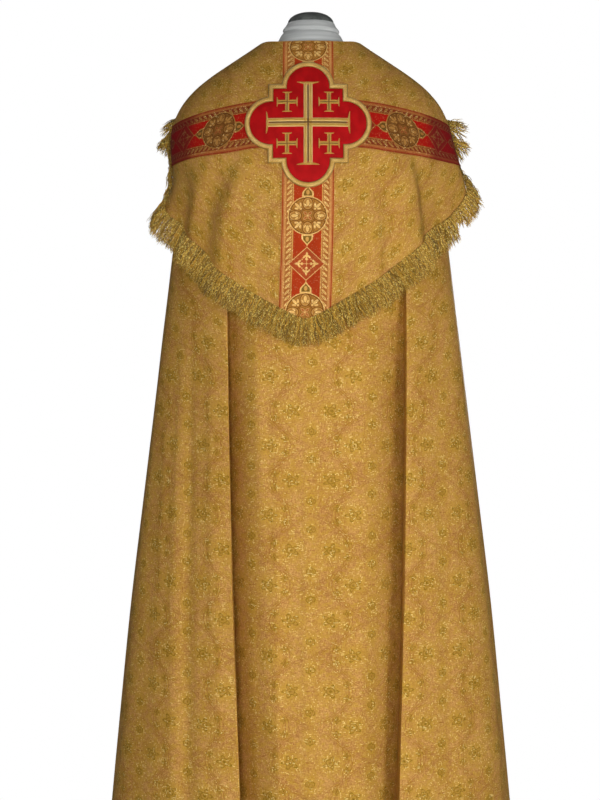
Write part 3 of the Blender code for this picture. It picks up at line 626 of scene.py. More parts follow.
def makeBrocade():
    look = brocadeLook
    finish = Finish("goldBrocade", {"Specular IOR Level": 0.06})
    u, v = finish.clothPlace()
    wander = (finish.noise(u, v, 9.0, 9.0, 1.0) - 0.5) * 3.0
    lines, petals, halo = brocadeFigure(u + wander, v + wander)
    slow = finish.noise(u, v, 60.0, 90.0, 1.0)
    mottle = finish.noise(u, v, 13.0, 9.0, 1.0).rise(0.38, 0.64)
    grain = finish.noise(u, v, 2.2, 2.6, 3.0)
    # single threads showing across and down, and the crossings between them
    flat = finish.specks(u, v, 4.4, 1.2)
    tall = finish.specks(u + 7.3, v + 3.1, 1.2, 4.0)
    fine = finish.specks(u + 1.7, v + 0.9, 1.8, 1.5)
    glint = most(flat.rise(0.95, 0.99), tall.rise(0.96, 0.995), fine.rise(0.955, 0.99))
    shade = slow.rise(0.3, 0.65) * 0.2 + grain.rise(0.3, 0.7) * 0.3
    shade = shade + (flat + tall) * 0.38 + fine * 0.32 - 0.30
    lurex = (halo * 0.75).high(mottle * 0.60) * (fine * 0.7 + 0.4)
    colour = finish.lay(
        look["groundDeep"],
        (look["ground"], shade),
        (look["halo"], lurex),
        (look["line"], lines * (0.42 + mottle * 0.30)),
        (look["petal"], petals * (fine.rise(0.1, 0.9) * 0.45 + 0.42)),
        (look["glint"], glint * (0.03 + lurex * 0.66)),
    )
    height = (petals - lines + grain) * 0.5 + flat * 0.3 + u.ribs(0.9) * v.ribs(1.4) * 0.18
    return finish.show(colour, 0.58 - lurex * 0.12, lurex * 0.2 + 0.1, height, 0.0005, 0.9)


def makeLining():
    finish = Finish("goldLining", {"Sheen Weight": 0.15})
    u, v = finish.clothPlace()
    thread = finish.noise(u, v, 0.8, 12.0, 2.0)
    colour = finish.mix(*brocadeLook["lining"], thread)
    return finish.show(colour, 0.42 + thread * 0.15, None, thread, 0.0001, 0.5)


brocade = makeBrocade()
lining = makeLining()
print("brocade and lining mixed")


def sewBrocade(name, node, grid, middle, cut):
    # the pattern is counted from the middle of the back, with an ogee's middle set on it
    down = spreadAlong(grid)[:, middle]
    along = down - np.interp(-cut["ogeeHeight"], -grid[:, middle, 2], down)
    uv = together(spreadAlong(grid, 1, middle) - cut["ogeeSide"], along[:, None])
    return dress(clothShell(name, grid, cut["wall"], uv, brocade, lining), node)


middleColumn = int(np.argmin(np.abs(bodyColumns())))
copeBody = sewBrocade("copeBody", "cope_body", bodyGrid(), middleColumn, bodyCut)
hoodCloth = sewBrocade("hoodCloth", "hood", hoodGrid(), hoodCut["columns"] // 2, hoodCut)
print("cope body and hood sewn")


# Woven orphreys on the hood

bandCut = {
    "width": 0.0925,
    "wall": 0.0009,
    "lift": 0.0021,
    "sideLift": 0.0030,
    "medallionHeight": 1.1865,
    "topInset": 0.0010,
    "endClearance": 0.0035,
    "seamGap": 0.0004,
    "sideShift": {-1: -0.002, 1: -0.011},
    # how far round a side band may end, and how far above the hood's edge
    "sideEnds": (60.0, 81.0),
    "sideClearance": 0.012,
    "axis": [(1.52, -0.0052), (1.30, -0.0055), (1.174, -0.0068), (1.04, -0.0108), (1.00, -0.0122)],
    # azimuth, upper and lower line of the crossing bands
    "levels": [
        (0.0, 1.4015, 1.3125),
        (30.0, 1.3995, 1.3085),
        (45.0, 1.3930, 1.3020),
        (58.0, 1.3845, 1.2995),
        (75.0, 1.3720, 1.2955),
        (92.0, 1.3650, 1.2930),
    ],
}
bandAxisTable = smoothTable(bandCut["axis"])
bandLevelTable = smoothTable(mirrored(bandCut["levels"]))

# each tone on the upright band, and on the side bands, whose darker tones are painted shade for the lurex
# catching less light there
galloonTones = {
    "field": ((172, 54, 20), (168, 21, 13)),
    "guard": ((168, 100, 46), (124, 50, 26)),
    "lozenge": ((172, 72, 34), (136, 46, 26)),
    "medallion": ((178, 122, 50), (128, 84, 34)),
    "petal": ((188, 132, 58), (140, 94, 42)),
    "dark": ((92, 40, 8), (78, 36, 14)),
    "gold": ((204, 152, 76), (166, 112, 52)),
    "paleGold": ((224, 178, 102), (176, 126, 62)),
    "olive": ((122, 88, 30), (94, 66, 24)),
    "strip": ((194, 122, 66), (166, 90, 46)),
    "edge": ((148, 36, 6), (126, 24, 12)),
    "rose": ((172, 96, 44), (134, 66, 32)),
}
galloonLook = {
    # the figure's growth across and along, and where the cloth turns away from the light
    "grow": ((1.06, 1.048), (1.06, 1.0)),
    "turned": ((400.0, 434.0), (206.0, 240.0)),
    "worn": tone(70, 26, 12),
    "glint": tone(255, 232, 160),
    "shaded": tone(104, 14, 22),
    "repeat": 163.0,
    # millimetres from the middle line to the guards' leaves, and from one leaf to the next
    "guardMiddle": 32.4,
    "leafPitch": 10.4,
    "dropMiddle": 41.5,
    "lozengeHalf": (31.0, 29.0),
    "medallionRadius": 33.4,
}

# leaves of the figures: place along and across, length, width, slant
galloonLeaves = {
    "seed": [(-1.5, 0.0, 4.4, 3.0)],
    "crossArm": [(14.6, 0.0, 5.6, 2.0), (12.0, 3.8, 3.9, 1.7, -0.75), (7.6, 0.0, 2.2, 2.6)],
    "crossHeart": [(0.0, 0.0, 1.7, 1.7)],
    "crossDots": [(7.4, 7.4, 1.5, 1.5)],
    "lights": [(22.0, 0.0, 6.4, 3.0), (18.2, 4.3, 3.6, 1.7, 0.6)],
    "fan": [(24.4, 0.0, 6.4, 2.6), (21.6, 4.6, 4.2, 2.0, 0.7), (16.8, 0.0, 2.2, 2.4)],
    "rosette": [(5.4, 0.0, 4.4, 2.7)],
    "rosetteHeart": [(5.4, 0.0, 3.2, 1.7)],
}


def leafShape(x, y, centreX, centreY, long, wide, slant=0.0):
    # 1 inside a leaf, fading over its edge
    cosine, sine = math.cos(slant), math.sin(slant)
    dx, dy = x - centreX, y - centreY
    along, aside = (dx * cosine + dy * sine) / long, (dy * cosine - dx * sine) / wide
    return 1 - hypotenuse(along, aside).rise(0.78, 1.08)


def leafGroup(x, y, name):
    return most(*[leafShape(x, y, *leaf) for leaf in galloonLeaves[name]])


def galloonFigure(u, v, grow):
    # u runs across from the middle and v along, in millimetres; each layer of colour lies over the last
    look, side = galloonLook, abs(u)
    guardZone = side.rise(26.6, 27.2) * (1 - side.rise(37.6, 38.2))
    leafX = side - look["guardMiddle"]
    leafV, pitch = v - leafX * 0.9, look["leafPitch"]
    leafRim = hypotenuse(leafX / 5.4, leafV.wrap(pitch) / 3.1)
    leaves = (1 - leafRim.rise(0.70, 1.0)) * guardZone
    shoot = 1 - hypotenuse(leafX + 3.6, (leafV + pitch / 2).wrap(pitch)).rise(1.0, 1.8)
    rails = (side - 38.7).within(0.5, 0.35).high((side - 25.7).within(0.8, 0.35))
    layers = [
        ("edge", (side - 44.4).within(0.75, 0.3)),
        ("edge", (side - 42.0).within(0.25, 0.25) * 0.6),
        ("paleGold", (side - 40.6).within(0.35, 0.3) * 0.8),
        ("guard", guardZone),
        ("paleGold", leaves.high(shoot * guardZone * 0.7)),
        ("olive", (1 - leafRim.rise(0.2, 0.5)) * guardZone * 0.5),
        ("field", 1 - side.rise(24.4, 24.9)),
    ]

    # the drop between medallion and lozenge, its point towards the lozenge
    side, along = side / grow[0], abs((v / grow[1]).wrap(look["repeat"]))
    dropY = along - look["dropMiddle"]
    dropWide = 9.6 - dropY.rise(-3.5, 11.0) * 9.2
    dropBody = (dropY + 9.5).rise(-0.6, 0.6) * (dropWide - side).rise(-0.5, 0.5)
    dropBody = dropBody * (1 - dropY.rise(10.6, 11.2))
    dropInner = (dropWide - 2.6 - side).rise(-0.4, 0.4) * (dropY + 7.2).rise(-0.5, 0.5)
    dropSeed = dropBody * leafGroup(dropY, side, "seed")
    layers += [("paleGold", dropBody), ("olive", dropBody * dropInner), ("gold", dropSeed)]

    # the lozenge with its flowered cross, the same on both its axes
    below = look["repeat"] / 2 - along
    diagonal = side / look["lozengeHalf"][0] + below / look["lozengeHalf"][1]
    lozengeZone = 1 - diagonal.rise(0.99, 1.01)
    lozengeLine = (diagonal - 0.965).within(0.026, 0.014)
    reach, off = side.high(below), side.low(below)
    stem = off.within(0.35, 0.3) * (1 - reach.rise(18.5, 19.5)) * 0.8
    arm, heart, dots = [leafGroup(reach, off, name) for name in ("crossArm", "crossHeart", "crossDots")]
    cross = most(arm, heart, dots * 0.7, stem) * lozengeZone
    layers += [("lozenge", lozengeZone), ("paleGold", cross)]

    # the medallion: four petals, leaves between them and a rosette, the same in its eight parts
    radius = hypotenuse(side, along)
    discZone = 1 - radius.rise(look["medallionRadius"] - 0.6, look["medallionRadius"])
    rails = rails * (1 - discZone) * (1 - lozengeZone)
    reach, off = side.high(along), side.low(along)
    outward, aside = (reach + off) * 0.7071, (reach - off) * 0.7071
    petalRim = hypotenuse((reach - 20.6) / 11.0, off / 8.8)
    petal = 1 - petalRim.rise(0.90, 0.98)
    between = 1 - petal
    lights = leafGroup(reach, off, "lights")
    fan = leafGroup(outward, aside, "fan") * between
    rosette = leafGroup(outward, aside, "rosette")
    rosetteLine = rosette * (1 - leafGroup(outward, aside, "rosetteHeart")) * 0.6
    darkLines = most(
        (petalRim - 0.96).within(0.065, 0.035),
        (radius - 30.4).within(0.7, 0.35),
        (outward - 13.4).within(0.4, 0.35) * between,
        (petalRim - 1.28).within(0.035, 0.04),
        (lights - 0.32).within(0.26, 0.12) * petal,
        (fan - 0.32).within(0.26, 0.12),
        (rosette - 0.25).within(0.2, 0.12),
        (radius - 12.4).within(0.5, 0.4) * between * 0.8,
    )
    veins = (petalRim - 0.79).within(0.03, 0.04) * 0.7
    bright = most(lights.rise(0.55, 0.9), veins, fan.rise(0.55, 0.9)) * discZone
    ring = (radius - 32.3).within(0.75, 0.4)
    layers += [
        ("gold", rails),
        ("paleGold", lozengeLine),
        ("medallion", discZone),
        ("petal", petal * discZone),
        ("dark", darkLines * discZone * 0.85),
        ("paleGold", bright),
        ("rose", rosette * discZone),
        ("paleGold", rosetteLine.high(1 - radius.rise(1.2, 2.0)) * discZone),
        ("paleGold", ring),
    ]
    shine = most(rails, lozengeLine, cross, ring, bright, dropBody * (1 - dropInner), leaves)
    return layers, shine, shine * 0.7 + (petal - darkLines) * discZone * 0.3


def makeGalloon(name, kind):
    look, tones = galloonLook, {key: tone(*pair[kind]) for key, pair in galloonTones.items()}
    finish = Finish(name, {"Specular IOR Level": 0.05})
    u, v = finish.clothPlace()
    grain = finish.noise(u, v, 1.1, 1.1, 2.0)
    # the weave steps each figure's edge by a thread
    layers, shine, height = galloonFigure(u + (grain - 0.5), v + (grain - 0.5), look["grow"][kind])
    slow = finish.noise(u, v, 40.0, 60.0, 1.0)
    fleck = finish.specks(u, v, 1.6, 1.3).rise(0.55, 1.0)
    worn = (1 - slow.rise(0.25, 0.6)) * 0.12 + (1 - grain.rise(0.3, 0.6)) * 0.14 + fleck * 0.16
    glint = finish.specks(u + 0.7, v, 1.5, 1.7).rise(0.88, 0.97) * (shine * 0.85 + 0.12)
    colour = finish.lay(
        tones["strip"],
        *[(tones[key], mask) for key, mask in layers],
        (look["worn"], worn),
        (look["glint"], glint * 0.6),
        (look["shaded"], v.rise(*look["turned"][kind]) * 0.72),
    )
    height = height + v.ribs(0.8) * 0.12 + grain * 0.3
    return finish.show(colour, 0.62 - shine * 0.16, shine * 0.25, height, 0.0004, 0.8)


galloon = makeGalloon("wovenGalloon", 0)
# the side bands' weave is the upright band's weave in darker tones: painted shade
sideGalloon = makeGalloon("sideGalloon", 1)
print("orphrey weave drawn")


def sewBand(name, node, grid, uv, weave):
    return dress(clothShell(name, grid, bandCut["wall"], uv, weave, weave), node)


def sewVerticalBand():
    rows, columns = 110, 14
    across = np.linspace(-0.5, 0.5, columns + 1)[None] * bandCut["width"]
    top = necklineAt(0.0) - bandCut["topInset"]
    lowest = 1.02
    bottom = hoodEdgeAt(azimuthAt(bandAxisTable(lowest)[0] + across, lowest)) + bandCut["endClearance"]
    height = top + (bottom - top) * np.linspace(0, 1, rows + 1)[:, None]
    grid = hoodFace(bandAxisTable(height)[..., 0] + across, height, bandCut["lift"])
    # the repeat is counted down the middle, and each row takes its share by height
    middle, falling = spreadAlong(grid)[:, columns // 2], -height[:, columns // 2]
    down = np.interp(-height, falling, middle) - np.interp(-bandCut["medallionHeight"], falling, middle)
    return sewBand("orphreyUpright", "orphrey_vertical", grid, together(across, down), galloon)


def sideBandEnd(side):
    # where the hood's edge comes near the band's lower line
    azimuth, last = bandCut["sideEnds"]
    clear = bandCut["sideClearance"]
    while azimuth < last and hoodEdgeAt(side * azimuth) <= bandLevelTable(azimuth)[1] - clear:
        azimuth += 0.5
    return azimuth


def sewSideBand(name, node, side):
    rows, columns = 14, 70
    lift, seam = bandCut["sideLift"], side * (bandCut["width"] / 2 + bandCut["seamGap"])
    share = np.linspace(0, 1, rows + 1)[:, None]
    middle = bandLevelTable(0.0).mean()
    start = side * float(azimuthAt(bandAxisTable(middle)[0] + seam, middle))
    azimuth = side * np.linspace(start, sideBandEnd(side), columns + 1)[None]
    upper, lower = np.moveaxis(bandLevelTable(azimuth), -1, 0)
    height = upper + (lower - upper) * share
    azimuth = np.broadcast_to(azimuth, height.shape).copy()
    # the first columns ease over to the upright band's edge
    first = azimuthAt(bandAxisTable(height[:, 0])[..., 0] + seam, height[:, 0], lift)
    azimuth += (first[:, None] - azimuth[:, :1]) * np.clip(1 - np.arange(columns + 1) / 6.0, 0, 1)
    if side < 0:
        azimuth, height = azimuth[:, ::-1], height[:, ::-1]
    grid = hoodPoints(azimuth, height, lift)
    # the woven repeat is counted from the crossing's middle
    along = spreadAlong(grid, 1, 0 if side > 0 else columns)
    run, level = np.abs(along[rows // 2]) + abs(seam), height[rows // 2]
    # square to the band's own slope, so that the medallions stay round
    slope = side * np.gradient(level) / np.abs(np.gradient(run))
    v = run + bandCut["sideShift"][side] + (height - level) * slope
    return sewBand(name, node, grid, together((share - 0.5) * bandCut["width"], v), sideGalloon)


uprightBand = sewVerticalBand()
sideBands = [
    sewSideBand("orphreyToLeft", "orphrey_left", -1),
    sewSideBand("orphreyToRight", "orphrey_right", 1),
]
print("orphreys sewn on")


# Emblem: a four-lobed red ground, its gold border and the five-fold cross

emblemCut = {
    "centre": (-0.0058, 1.3550),
    "stretch": 1.052,
    "lift": 0.0040,
    "squareHalf": 0.0622,
    "lobeRadius": 0.0384,
    "lobeCentre": 0.0656,
    "borderWidth": 0.0090,
    "borderRise": 0.0040,
    # the rings from the ground's middle to its edge, which rounds off over the last of them
    "groundRings": (0.12, 0.26, 0.40, 0.54, 0.68, 0.80, 0.90, 0.96, 0.99, 1.0),
    "groundWall": 0.0024,
    "groundRound": 0.0012,
    "groundInset": 0.0004,
    "crossLift": 0.0066,
    # reach, half height of an arm, half length of the serif at its end, its width there, rise, steps
    "largeCross": (0.0722, 0.0078, 0.0200, 0.0042, 0.0016, 18),
    "smallCross": (0.0172, 0.0036, 0.0088, 0.0026, 0.0012, 8),
    "smallOffset": 0.0372,
    # across and up, in half widths and rises
    "padSection": mirrored([(0.0, 1.0), (0.55, 0.9), (0.92, 0.55), (1.0, 0.0)]),
}


def emblemFace(x, z, lift):
    height = emblemCut["centre"][1] + np.asarray(z) * emblemCut["stretch"]
    return hoodFace(emblemCut["centre"][0] + np.asarray(x), height, lift)


def emblemOutline(grow):
    # an eighth of the outline, mirrored and then turned round
    half, radius = emblemCut["squareHalf"] + grow, emblemCut["lobeRadius"] + grow
    centre = emblemCut["lobeCentre"]
    arc = np.linspace(0, math.acos((half - centre) / radius), 15)
    lobe = together(centre + radius * np.cos(arc), radius * np.sin(arc))
    eighth = np.concatenate([lobe, together(half, np.linspace(lobe[-1, 1], half, 5)[1:])])
    quarter = np.concatenate([eighth, eighth[-2:0:-1, ::-1]])
    swapped = quarter[:, ::-1]
    return np.concatenate([quarter, swapped * [-1, 1], -quarter, swapped * [1, -1]])


def makeRedSatin():
    finish = Finish("redSatin", {"Specular IOR Level": 0.08})
    u, v = finish.clothPlace()
    slow = finish.noise(u, v, 16.0, 22.0, 2.0)
    thread = finish.noise(u, v, 5.0, 0.5, 2.0)
    colour = finish.mix(tone(150, 10, 13), tone(176, 16, 19), slow.rise(0.3, 0.7) * 0.7 + thread * 0.3)
    height = thread * 0.5 + v.ribs(0.7) * 0.15
    return finish.show(colour, 0.62 + thread * 0.14, None, height, 0.0002, 0.8)


def makeGoldStitch(name, colours, pitch, middle, rim):
    # satin stitch in gold thread; u runs along the stitched line, v across it
    finish = Finish(name, {"Sheen Weight": 0.06})
    u, v = finish.clothPlace()
    thread = (u * (2 * math.pi / pitch) + finish.noise(u, v, 3.0, 3.0, 1.0) * 2.0).cosine() * 0.5 + 0.5
    grain = finish.noise(u, v, 0.6, 2.0, 2.0)
    slow = finish.noise(u, v, 14.0, 14.0, 1.0)
    dark, plain, light, side = [tone(*colour) for colour in colours]
    # darker between the stitches and lighter on their crests: painted shade and painted highlight
    lit = (thread.rise(0.55, 1.0) * 0.7 + slow.rise(0.4, 0.7) * 0.3) * grain.rise(0.3, 0.6)
    aside = abs(v - middle).rise(rim * 0.45, rim) * 0.8
    colour = finish.lay(dark, (plain, thread.rise(0.1, 0.7)), (light, lit), (side, aside))
    metallic, height = thread * 0.06 + 0.02, thread + grain * 0.4
    return finish.show(colour, 0.50 - thread * 0.15, metallic, height, 0.0003, 0.9)


redSatin = makeRedSatin()
borderTones = [(160, 114, 34), (226, 172, 78), (250, 220, 140), (142, 110, 36)]
crossTones = [(140, 100, 24), (214, 162, 60), (250, 204, 100), (255, 226, 158)]
coreTones = [(88, 54, 8), (118, 76, 14), (148, 104, 32), (104, 68, 12)]
borderStitch = makeGoldStitch("borderGold", borderTones, 0.9, 4.5, 4.5)
crossStitch = makeGoldStitch("crossGold", crossTones, 0.8, 0.0, 3.0)
crossCore = makeGoldStitch("crossCore", coreTones, 0.8, 0.0, 2.0)


def sewEmblemGround():
    low, wall, shares = emblemCut["lift"], emblemCut["groundWall"], np.array(emblemCut["groundRings"])
    edge = emblemOutline(-emblemCut["groundInset"])
    lifts = low + wall - emblemCut["groundRound"] * smoothstep((shares - 0.93) / 0.07)
    middle = np.zeros((1, 2))
    points, uvs = [emblemFace(*middle.T, low + wall)], [middle]
    for share, lift in [*zip(shares, lifts), (1.0, low)]:
        points.append(emblemFace(*(edge * share).T, lift))
        uvs.append(edge * share)
    points.append(emblemFace(*middle.T, low))
    uvs.append(middle)
    # a fan of faces in the middle of each side, and rings of them between
    index = 1 + np.arange((len(shares) + 1) * len(edge)).reshape(-1, len(edge))
    after, end = np.roll(index, -1, axis=1), index.size + 1
    faces = [[0, *pair] for pair in zip(index[0].tolist(), after[0].tolist())]
    faces += ringFaces(index[:-1], index[1:]).tolist()
    faces += [[end, *pair] for pair in zip(after[-1].tolist(), index[-1].tolist())]
    ground = newPiece("emblemRed", np.concatenate(points), faces, [redSatin], np.concatenate(uvs))
    return dress(ground, "emblem_ground")


def sewEmblemBorder():
    # a padded roll of satin stitch: round on top, flat below
    width, rise, low = emblemCut["borderWidth"], emblemCut["borderRise"], emblemCut["lift"]
    section = [(0.02, 0.0), (0.0, 0.35), (0.10, 0.72), (0.28, 0.94), (0.5, 1.0)]
    section += [(1 - across, up) for across, up in reversed(section[:-1])]
    loops, uvs = [], []
    run = spreadAlong(emblemOutline(width / 2))
    for across, up in reversed(section):
        loops.append(emblemFace(*emblemOutline(across * width).T, low + up * rise))
        uvs.append(together(run, across * width))
    index = np.arange(len(loops) * len(run)).reshape(-1, len(run))
    faces = ringFaces(index, np.roll(index, -1, axis=0)).tolist()
    border = newPiece("emblemRoll", loops, faces, [borderStitch], uvs)
    return dress(border, "emblem_border")


def padPoints(path, halfWidths, lift, rise):
    # a stitched pad along a path in the emblem's plane, half round in section
    along, run = unit(np.gradient(path, axis=0)), spreadAlong(path)
    square = together(-along[:, 1], along[:, 0])
    rings, uvs = [], []
    for across, up in sorted(emblemCut["padSection"]):
        aside = halfWidths * across
        rings.append(emblemFace(*(path + square * aside[:, None]).T, lift + rise * up))
        uvs.append(together(run, aside))
    return np.stack(rings, axis=1), np.stack(uvs, axis=1)


def crossStrokes(size):
    # path, half widths, extra lift, rise and kind of thread of each stroke in the arm that points along x
    reach, armHalf, serifHalf, serifWall, rise, steps = size
    barHalf, coreHalf = armHalf * 0.41, armHalf * 0.2
    share = np.linspace(0, 1, steps + 1)
    strokes = []
    for side in (-1, 1):
        bar = together(coreHalf + (reach - coreHalf) * share, side * (armHalf - barHalf))
        strokes.append((bar, np.full(steps + 1, barHalf), 0.0, rise, 0))
    core = together((reach - serifWall) * share, 0.0)
    strokes.append((core, np.full(steps + 1, coreHalf), 0.0, rise * 0.5, 1))
    # the serif at the arm's end narrows to two points that lean outwards
    t = np.linspace(-1, 1, 17)
    serif = together(reach + 0.10 * serifHalf * t**2, t * serifHalf)
    strokes.append((serif, serifWall / 2 * (1 - np.abs(t)) ** 0.55 + 0.00025, 0.0001, rise, 0))
    return strokes


def sewCross(name, node, size, offset):
    points, uvs, faces, kinds, total = [], [], [], [], 0
    for cosine, sine in [(1, 0), (0, 1), (-1, 0), (0, -1)]:
        for path, halfWidths, extra, rise, kind in crossStrokes(size):
            path = path @ [[cosine, sine], [-sine, cosine]] + offset
            grid, uv = padPoints(path, halfWidths, emblemCut["crossLift"] + extra, rise)
            rows, columns = grid.shape[:2]
            points.append(grid.reshape(-1, 3))
            uvs.append(uv.reshape(-1, 2))
            index = np.arange(rows * columns).reshape(rows, columns) + total
            under = np.stack([index[:-1, -1], index[1:, -1], index[1:, 0], index[:-1, 0]], axis=-1)
            made = [*gridFaces(rows, columns, total).tolist(), *under.tolist()]
            made += [index[0].tolist(), index[-1, ::-1].tolist()]
            faces += made
            kinds += [kind] * len(made)
            total += index.size
    stitches = [crossStitch, crossCore]
    cross = newPiece(name, np.concatenate(points), faces, stitches, np.concatenate(uvs), kinds)
    return dress(cross, node)


emblemPieces = [sewEmblemGround(), sewEmblemBorder()]
emblemPieces.append(sewCross("crossLarge", "cross_large", emblemCut["largeCross"], (0.0, 0.0)))
for number, sides in enumerate([(-1, 1), (1, 1), (-1, -1), (1, -1)], 1):
    size, offset = emblemCut["smallCross"], np.array(sides) * emblemCut["smallOffset"]
    emblemPieces.append(sewCross(f"crossSmall{number}", f"cross_small_{number}", size, offset))
print("emblem embroidered")


# Fringe of fine twisted threads

fringeCut = {
    "drop": 0.0435,
    "layers": 3,
    "threads": 1250,
    "clump": 11,
    "thickness": 0.00074,
    "crinkle": 0.0019,
    "steps": 8,
    "above": 0.0035,
    "lift": 0.0012,
    "layerStep": 0.0012,
    "clear": 0.0045,
    "clearStep": 0.0008,
    "settle": 0.0025,
    "hang": 0.30,
    "outward": 0.08,
    # side, height, reach, outward lean, hang and share of the drop: two tufts standing out at the
    # right shoulder and one at the left, the flat runs below them, the spread corner and its notch
    "tufts": [
        (1, 1.378, 0.009, 2.1, 0.05, 0.95),
        (1, 1.346, 0.008, 1.6, 0.35, 0.85),
        (1, 1.308, 0.022, -0.05, 0.20, 0.45),
        (1, 1.264, 0.028, 0.36, 0.0, 0.95),
        (1, 1.226, 0.012, 0.15, 0.35, 0.75),
        (1, 1.203, 0.008, 0.0, 0.30, 0.42),
        (1, 1.184, 0.012, 0.1, 0.60, 0.95),
        (-1, 1.392, 0.014, 1.3, 0.40, 1.05),
        (-1, 1.356, 0.010, 1.2, 0.55, 0.95),
        (-1, 1.318, 0.030, -0.20, 0.20, 0.35),
    ],
}


def makeFringeFinish():
    finish = Finish("lurexFringe", {"Sheen Weight": 0.05})
    u, v = finish.clothPlace()
    thread = finish.specks(u, v, 1.0, 1000.0)
    glint = finish.specks(u, v, 1.0, 1.7).rise(0.78, 0.92)
    twist = (v * 2.6 + thread * 6.0).cosine() * 0.5 + 0.5
    colour = finish.lay(
        tone(126, 90, 12),
        (tone(230, 176, 54), thread.rise(0.0, 1.0)),
        (tone(92, 70, 8), (1 - twist) * 0.5),
        (tone(255, 232, 124), glint * 0.85),
    )
    return finish.show(colour, 0.5 - glint * 0.2, 0.08 + twist * 0.12, twist, 0.0003, 0.6)


def fringeHeading(layer, random, root, out, along, away):
    # the way each thread points, and its length
    cut, count = fringeCut, len(root)
    outward, hang = np.full(count, cut["outward"]), np.full(count, cut["hang"])
    length = cut["drop"] * (1 + random.normal(0, 0.06, count) - 0.03 * layer)
    for side, middle, reach, lean, down, share in cut["tufts"]:
        here = np.exp(-(((root[:, 2] - middle) / reach) ** 2)) * (root[:, 0] * side > 0.12)
        outward += here * (lean - outward)
        hang += here * (down - hang)
        length *= 1 + here * (share - 1)
    heading = away * (1 - hang)[:, None] + np.array([0, 0, -1.0]) * hang[:, None] + out * outward[:, None]
    # threads mat together in clumps
    clump = np.arange(count) // cut["clump"]
    lean = np.random.default_rng(31 + layer).normal(0, 0.13, (count // cut["clump"] + 1, 2))[clump]
    lean = lean + random.normal(0, 0.10, (count, 2))
    return unit(unit(heading) + along * lean[:, :1] + out * np.abs(lean[:, 1:]) * 0.6), length


def fringeLayer(layer, random, edge, normals):
    # points of the layer's threads: thread, step, corner
    cut, count, lengths = fringeCut, fringeCut["threads"], spreadAlong(edge)
    at = (np.arange(count) + random.uniform(0.1, 0.9, count)) / count * lengths[-1]

    def follow(values):
        return np.stack([np.interp(at, lengths, column) for column in values.T], axis=-1)

    root, out, along = follow(edge), unit(follow(normals)), unit(follow(np.gradient(edge, lengths, axis=0)))
    away = unit(np.cross(along, out))
    heading, length = fringeHeading(layer, random, root, out, along, away)
    start = root - away * (cut["above"] + random.uniform(0, 0.0022, count))[:, None]
    start += out * (cut["lift"] + layer * cut["layerStep"])
    bend = along * random.normal(0, 0.0026, (count, 1)) + out * random.normal(0.0008, 0.0014, (count, 1))
    phase = random.uniform(0, 2 * math.pi, (4, count))
    waves = random.uniform(9.0, 20.0, (2, count))
    size = cut["crinkle"] * random.uniform(0.4, 1.3, (2, count))
    share = np.linspace(0, 1, cut["steps"] + 1)
    spine = []
    for t in share:
        wave = np.sin(phase[:2] + t * waves) * size * min(1.0, 3 * t)
        curl = wave[0][:, None] * along + np.abs(wave[1])[:, None] * out
        reach = heading * ((length + cut["above"]) * t)[:, None]
        reach[:, 2] -= cut["settle"] * t * t
        spine.append(start + reach + bend * math.sin(math.pi * t) + curl)
    spine = np.stack(spine, axis=1)
    # threads lie on the cope and never in it
    azimuth = np.degrees(np.arctan2(spine[..., 0], -spine[..., 1]))
    radius = np.hypot(spine[..., 0], spine[..., 1])
    least = clothRadius(azimuth, spine[..., 2]) + cut["clear"] + layer * cut["clearStep"]
    spine[..., :2] *= (np.maximum(radius, least) / radius)[..., None]
    thick = (cut["thickness"] * random.uniform(0.8, 1.2, count))[:, None] * (1 - 0.65 * share**6)
    turns = phase[2] + np.arange(3)[:, None] * 2 * math.pi / 3
    corners = [along * np.cos(turn)[:, None] + out * np.sin(turn)[:, None] for turn in turns]
    return np.stack([spine + corner[:, None] * thick[..., None] for corner in corners], axis=2)


def sewFringe():
    cut, random, grid = fringeCut, np.random.default_rng(7), hoodGrid()
    count, steps = cut["threads"], cut["steps"]
    down = np.linspace(0, 1, steps + 1)[:, None] * cut["drop"]
    points, uvs, faces = [], [], []
    for layer in range(cut["layers"]):
        points.append(fringeLayer(layer, random, grid[-1], gridNormals(grid)[-1]))
        number = (np.arange(count)[:, None, None] + layer * count + 0.5) / 1000
        uvs.append(together(number, down, np.zeros(3))[..., :2])
        index = np.arange(count * (steps + 1) * 3).reshape(count, -1, 3) + layer * count * (steps + 1) * 3
        after = np.roll(index, -1, axis=2)
        quads = np.stack([index[:, :-1], after[:, :-1], after[:, 1:], index[:, 1:]], axis=-1)
        faces += quads.reshape(-1, 4).tolist()
    fringe = newPiece("hoodFringe", points, faces, [makeFringeFinish()], uvs, None, 0)
    return dress(fringe, "hood_fringe")


hoodFringe = sewFringe()
print("fringe sewn on")


# Dress form

formCut = {
    # height, half width, back, front
    "sections": [
        (1.566, 0.0445, 0.0430, 0.0430),
        (1.552, 0.0510, 0.0490, 0.0490),
        (1.535, 0.0600, 0.0560, 0.0570),
        (1.520, 0.0660, 0.0600, 0.0610),
        (1.508, 0.0840, 0.0700, 0.0720),
        (1.495, 0.1300, 0.0900, 0.0960),
        (1.470, 0.1900, 0.1150, 0.1150),
        (1.440, 0.2300, 0.1300, 0.1220),
        (1.400, 0.2250, 0.1290, 0.1200),
        (1.360, 0.2040, 0.1270, 0.1200),
        (1.300, 0.1820, 0.1240, 0.1230),
        (1.200, 0.1580, 0.1130, 0.1220),
        (1.080, 0.1300, 0.0980, 0.1020),
        (0.980, 0.1480, 0.1080, 0.1060),
        (0.880, 0.1640, 0.1200, 0.1100),
        (0.800, 0.1600, 0.1160, 0.1080),
    ],
    "squareness": 2.1,
    "seatGap": 0.0042,
    # height, depth, sway and half height of the level folds that the cover puckers into below the cap
    "puckers": [(1.5535, 0.0024, 0.0012, 0.0042), (1.5480, -0.0022, 0.0015, 0.0028)],
}
formTable = smoothTable(formCut["sections"])


